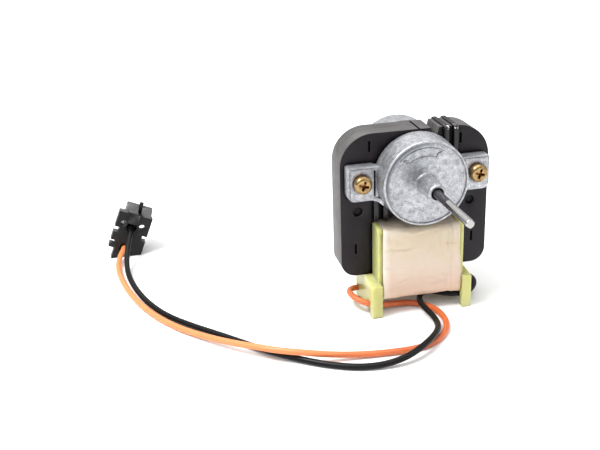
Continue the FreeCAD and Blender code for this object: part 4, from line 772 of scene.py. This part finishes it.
# painted shade where other surfaces stand close by
recessShade = useGroup(tree, recessGroup, {"Reach": 0.0022, "Darkest": 0.1})
recessShadedTone = addNode(tree, "ShaderNodeMix", {"Factor": 1.0, 6: (toned, 2), 7: (recessShade, "Level")}, data_type="RGBA",
                   blend_type="MULTIPLY")
connect(tree, recessShadedTone, 2, shader, "Base Color")
dress("connector_housing", connectorNylon, 0.00022, 3)
print("materials assigned")

# Studio: pale floor, soft light from the upper left, fill from the right and from above

floorSettings = {"size": 6.0, "colour": (0.93, 0.93, 0.93, 1)}
floorMesh = bpy.data.meshes.new("floor")
half = floorSettings["size"] / 2
floorMesh.from_pydata([(-half, -half, 0), (half, -half, 0), (half, half, 0), (-half, half, 0)], [], [(0, 1, 2, 3)])
floor = bpy.data.objects.new("floor", floorMesh)
floor.location.z = -0.00002
bpy.context.scene.collection.objects.link(floor)
floorPaint = surface("floorPaint", Base_Color=floorSettings["colour"], Roughness=1.0, Specular_IOR_Level=0.0)[0]
floor.data.materials.append(floorPaint)


def softbox(name, place, target, size, power):
    data = bpy.data.lights.new(name, "AREA")
    data.shape = "RECTANGLE"
    data.size = size[0]
    data.size_y = size[1]
    data.energy = power
    item = bpy.data.objects.new(name, data)
    bpy.context.scene.collection.objects.link(item)
    item.location = place
    item.rotation_mode = "QUATERNION"
    item.rotation_quaternion = (Vector(target) - Vector(place)).to_track_quat("-Z", "Y")
    return item


lightSettings = {
    "keyLight": {"place": (-0.35, -0.08, 0.62), "target": (0, 0.02, 0.04), "size": (0.22, 0.22), "power": 4.2},
    "topLight": {"place": (0.05, 0.25, 0.9), "target": (0, 0.02, 0.03), "size": (0.9, 0.7), "power": 3.5},
    "fillLight": {"place": (0.7, -0.5, 0.35), "target": (0, 0.02, 0.04), "size": (0.5, 0.6), "power": 1.6},
}
for name, values in lightSettings.items():
    softbox(name, **values)
sunSettings = {"strength": 1.2, "spread": 70, "tilt": (18, -22, 0)}
sun = bpy.data.objects.new("sun", bpy.data.lights.new("sun", "SUN"))
sun.data.energy = sunSettings["strength"]
sun.data.angle = math.radians(sunSettings["spread"])
sun.rotation_euler = [math.radians(degrees) for degrees in sunSettings["tilt"]]
bpy.context.scene.collection.objects.link(sun)

world = bpy.data.worlds.new("studio")
bpy.context.scene.world = world
world.use_nodes = True
worldTree = world.node_tree
background = worldTree.nodes["Background"]
ray = addNode(worldTree, "ShaderNodeLightPath")
direction = addNode(worldTree, "ShaderNodeTexCoord")
parts = addNode(worldTree, "ShaderNodeSeparateXYZ", {0: (direction, "Generated")})
height = addNode(worldTree, "ShaderNodeMapRange", {"Value": (parts, "Z"), "From Min": -1.0, "From Max": 1.0})
tent = curve(worldTree, height, 0, [(0.40, grey(0.75)), (0.50, grey(0.30)), (0.62, grey(0.42)), (0.74, grey(1.05)),
                                    (1.0, grey(1.4))])
even = curve(worldTree, ray, "Is Camera Ray", [(0.0, grey(0.60)), (1.0, grey(1.0))])
chosen = addNode(worldTree, "ShaderNodeMix", {"Factor": (ray, "Is Glossy Ray"), 6: (even, 0), 7: (tent, 0)},
                 data_type="RGBA")
connect(worldTree, chosen, 2, background, "Color")
background.inputs["Strength"].default_value = 1.0

bpy.context.scene.view_settings.view_transform = "Standard"
print("studio lit")
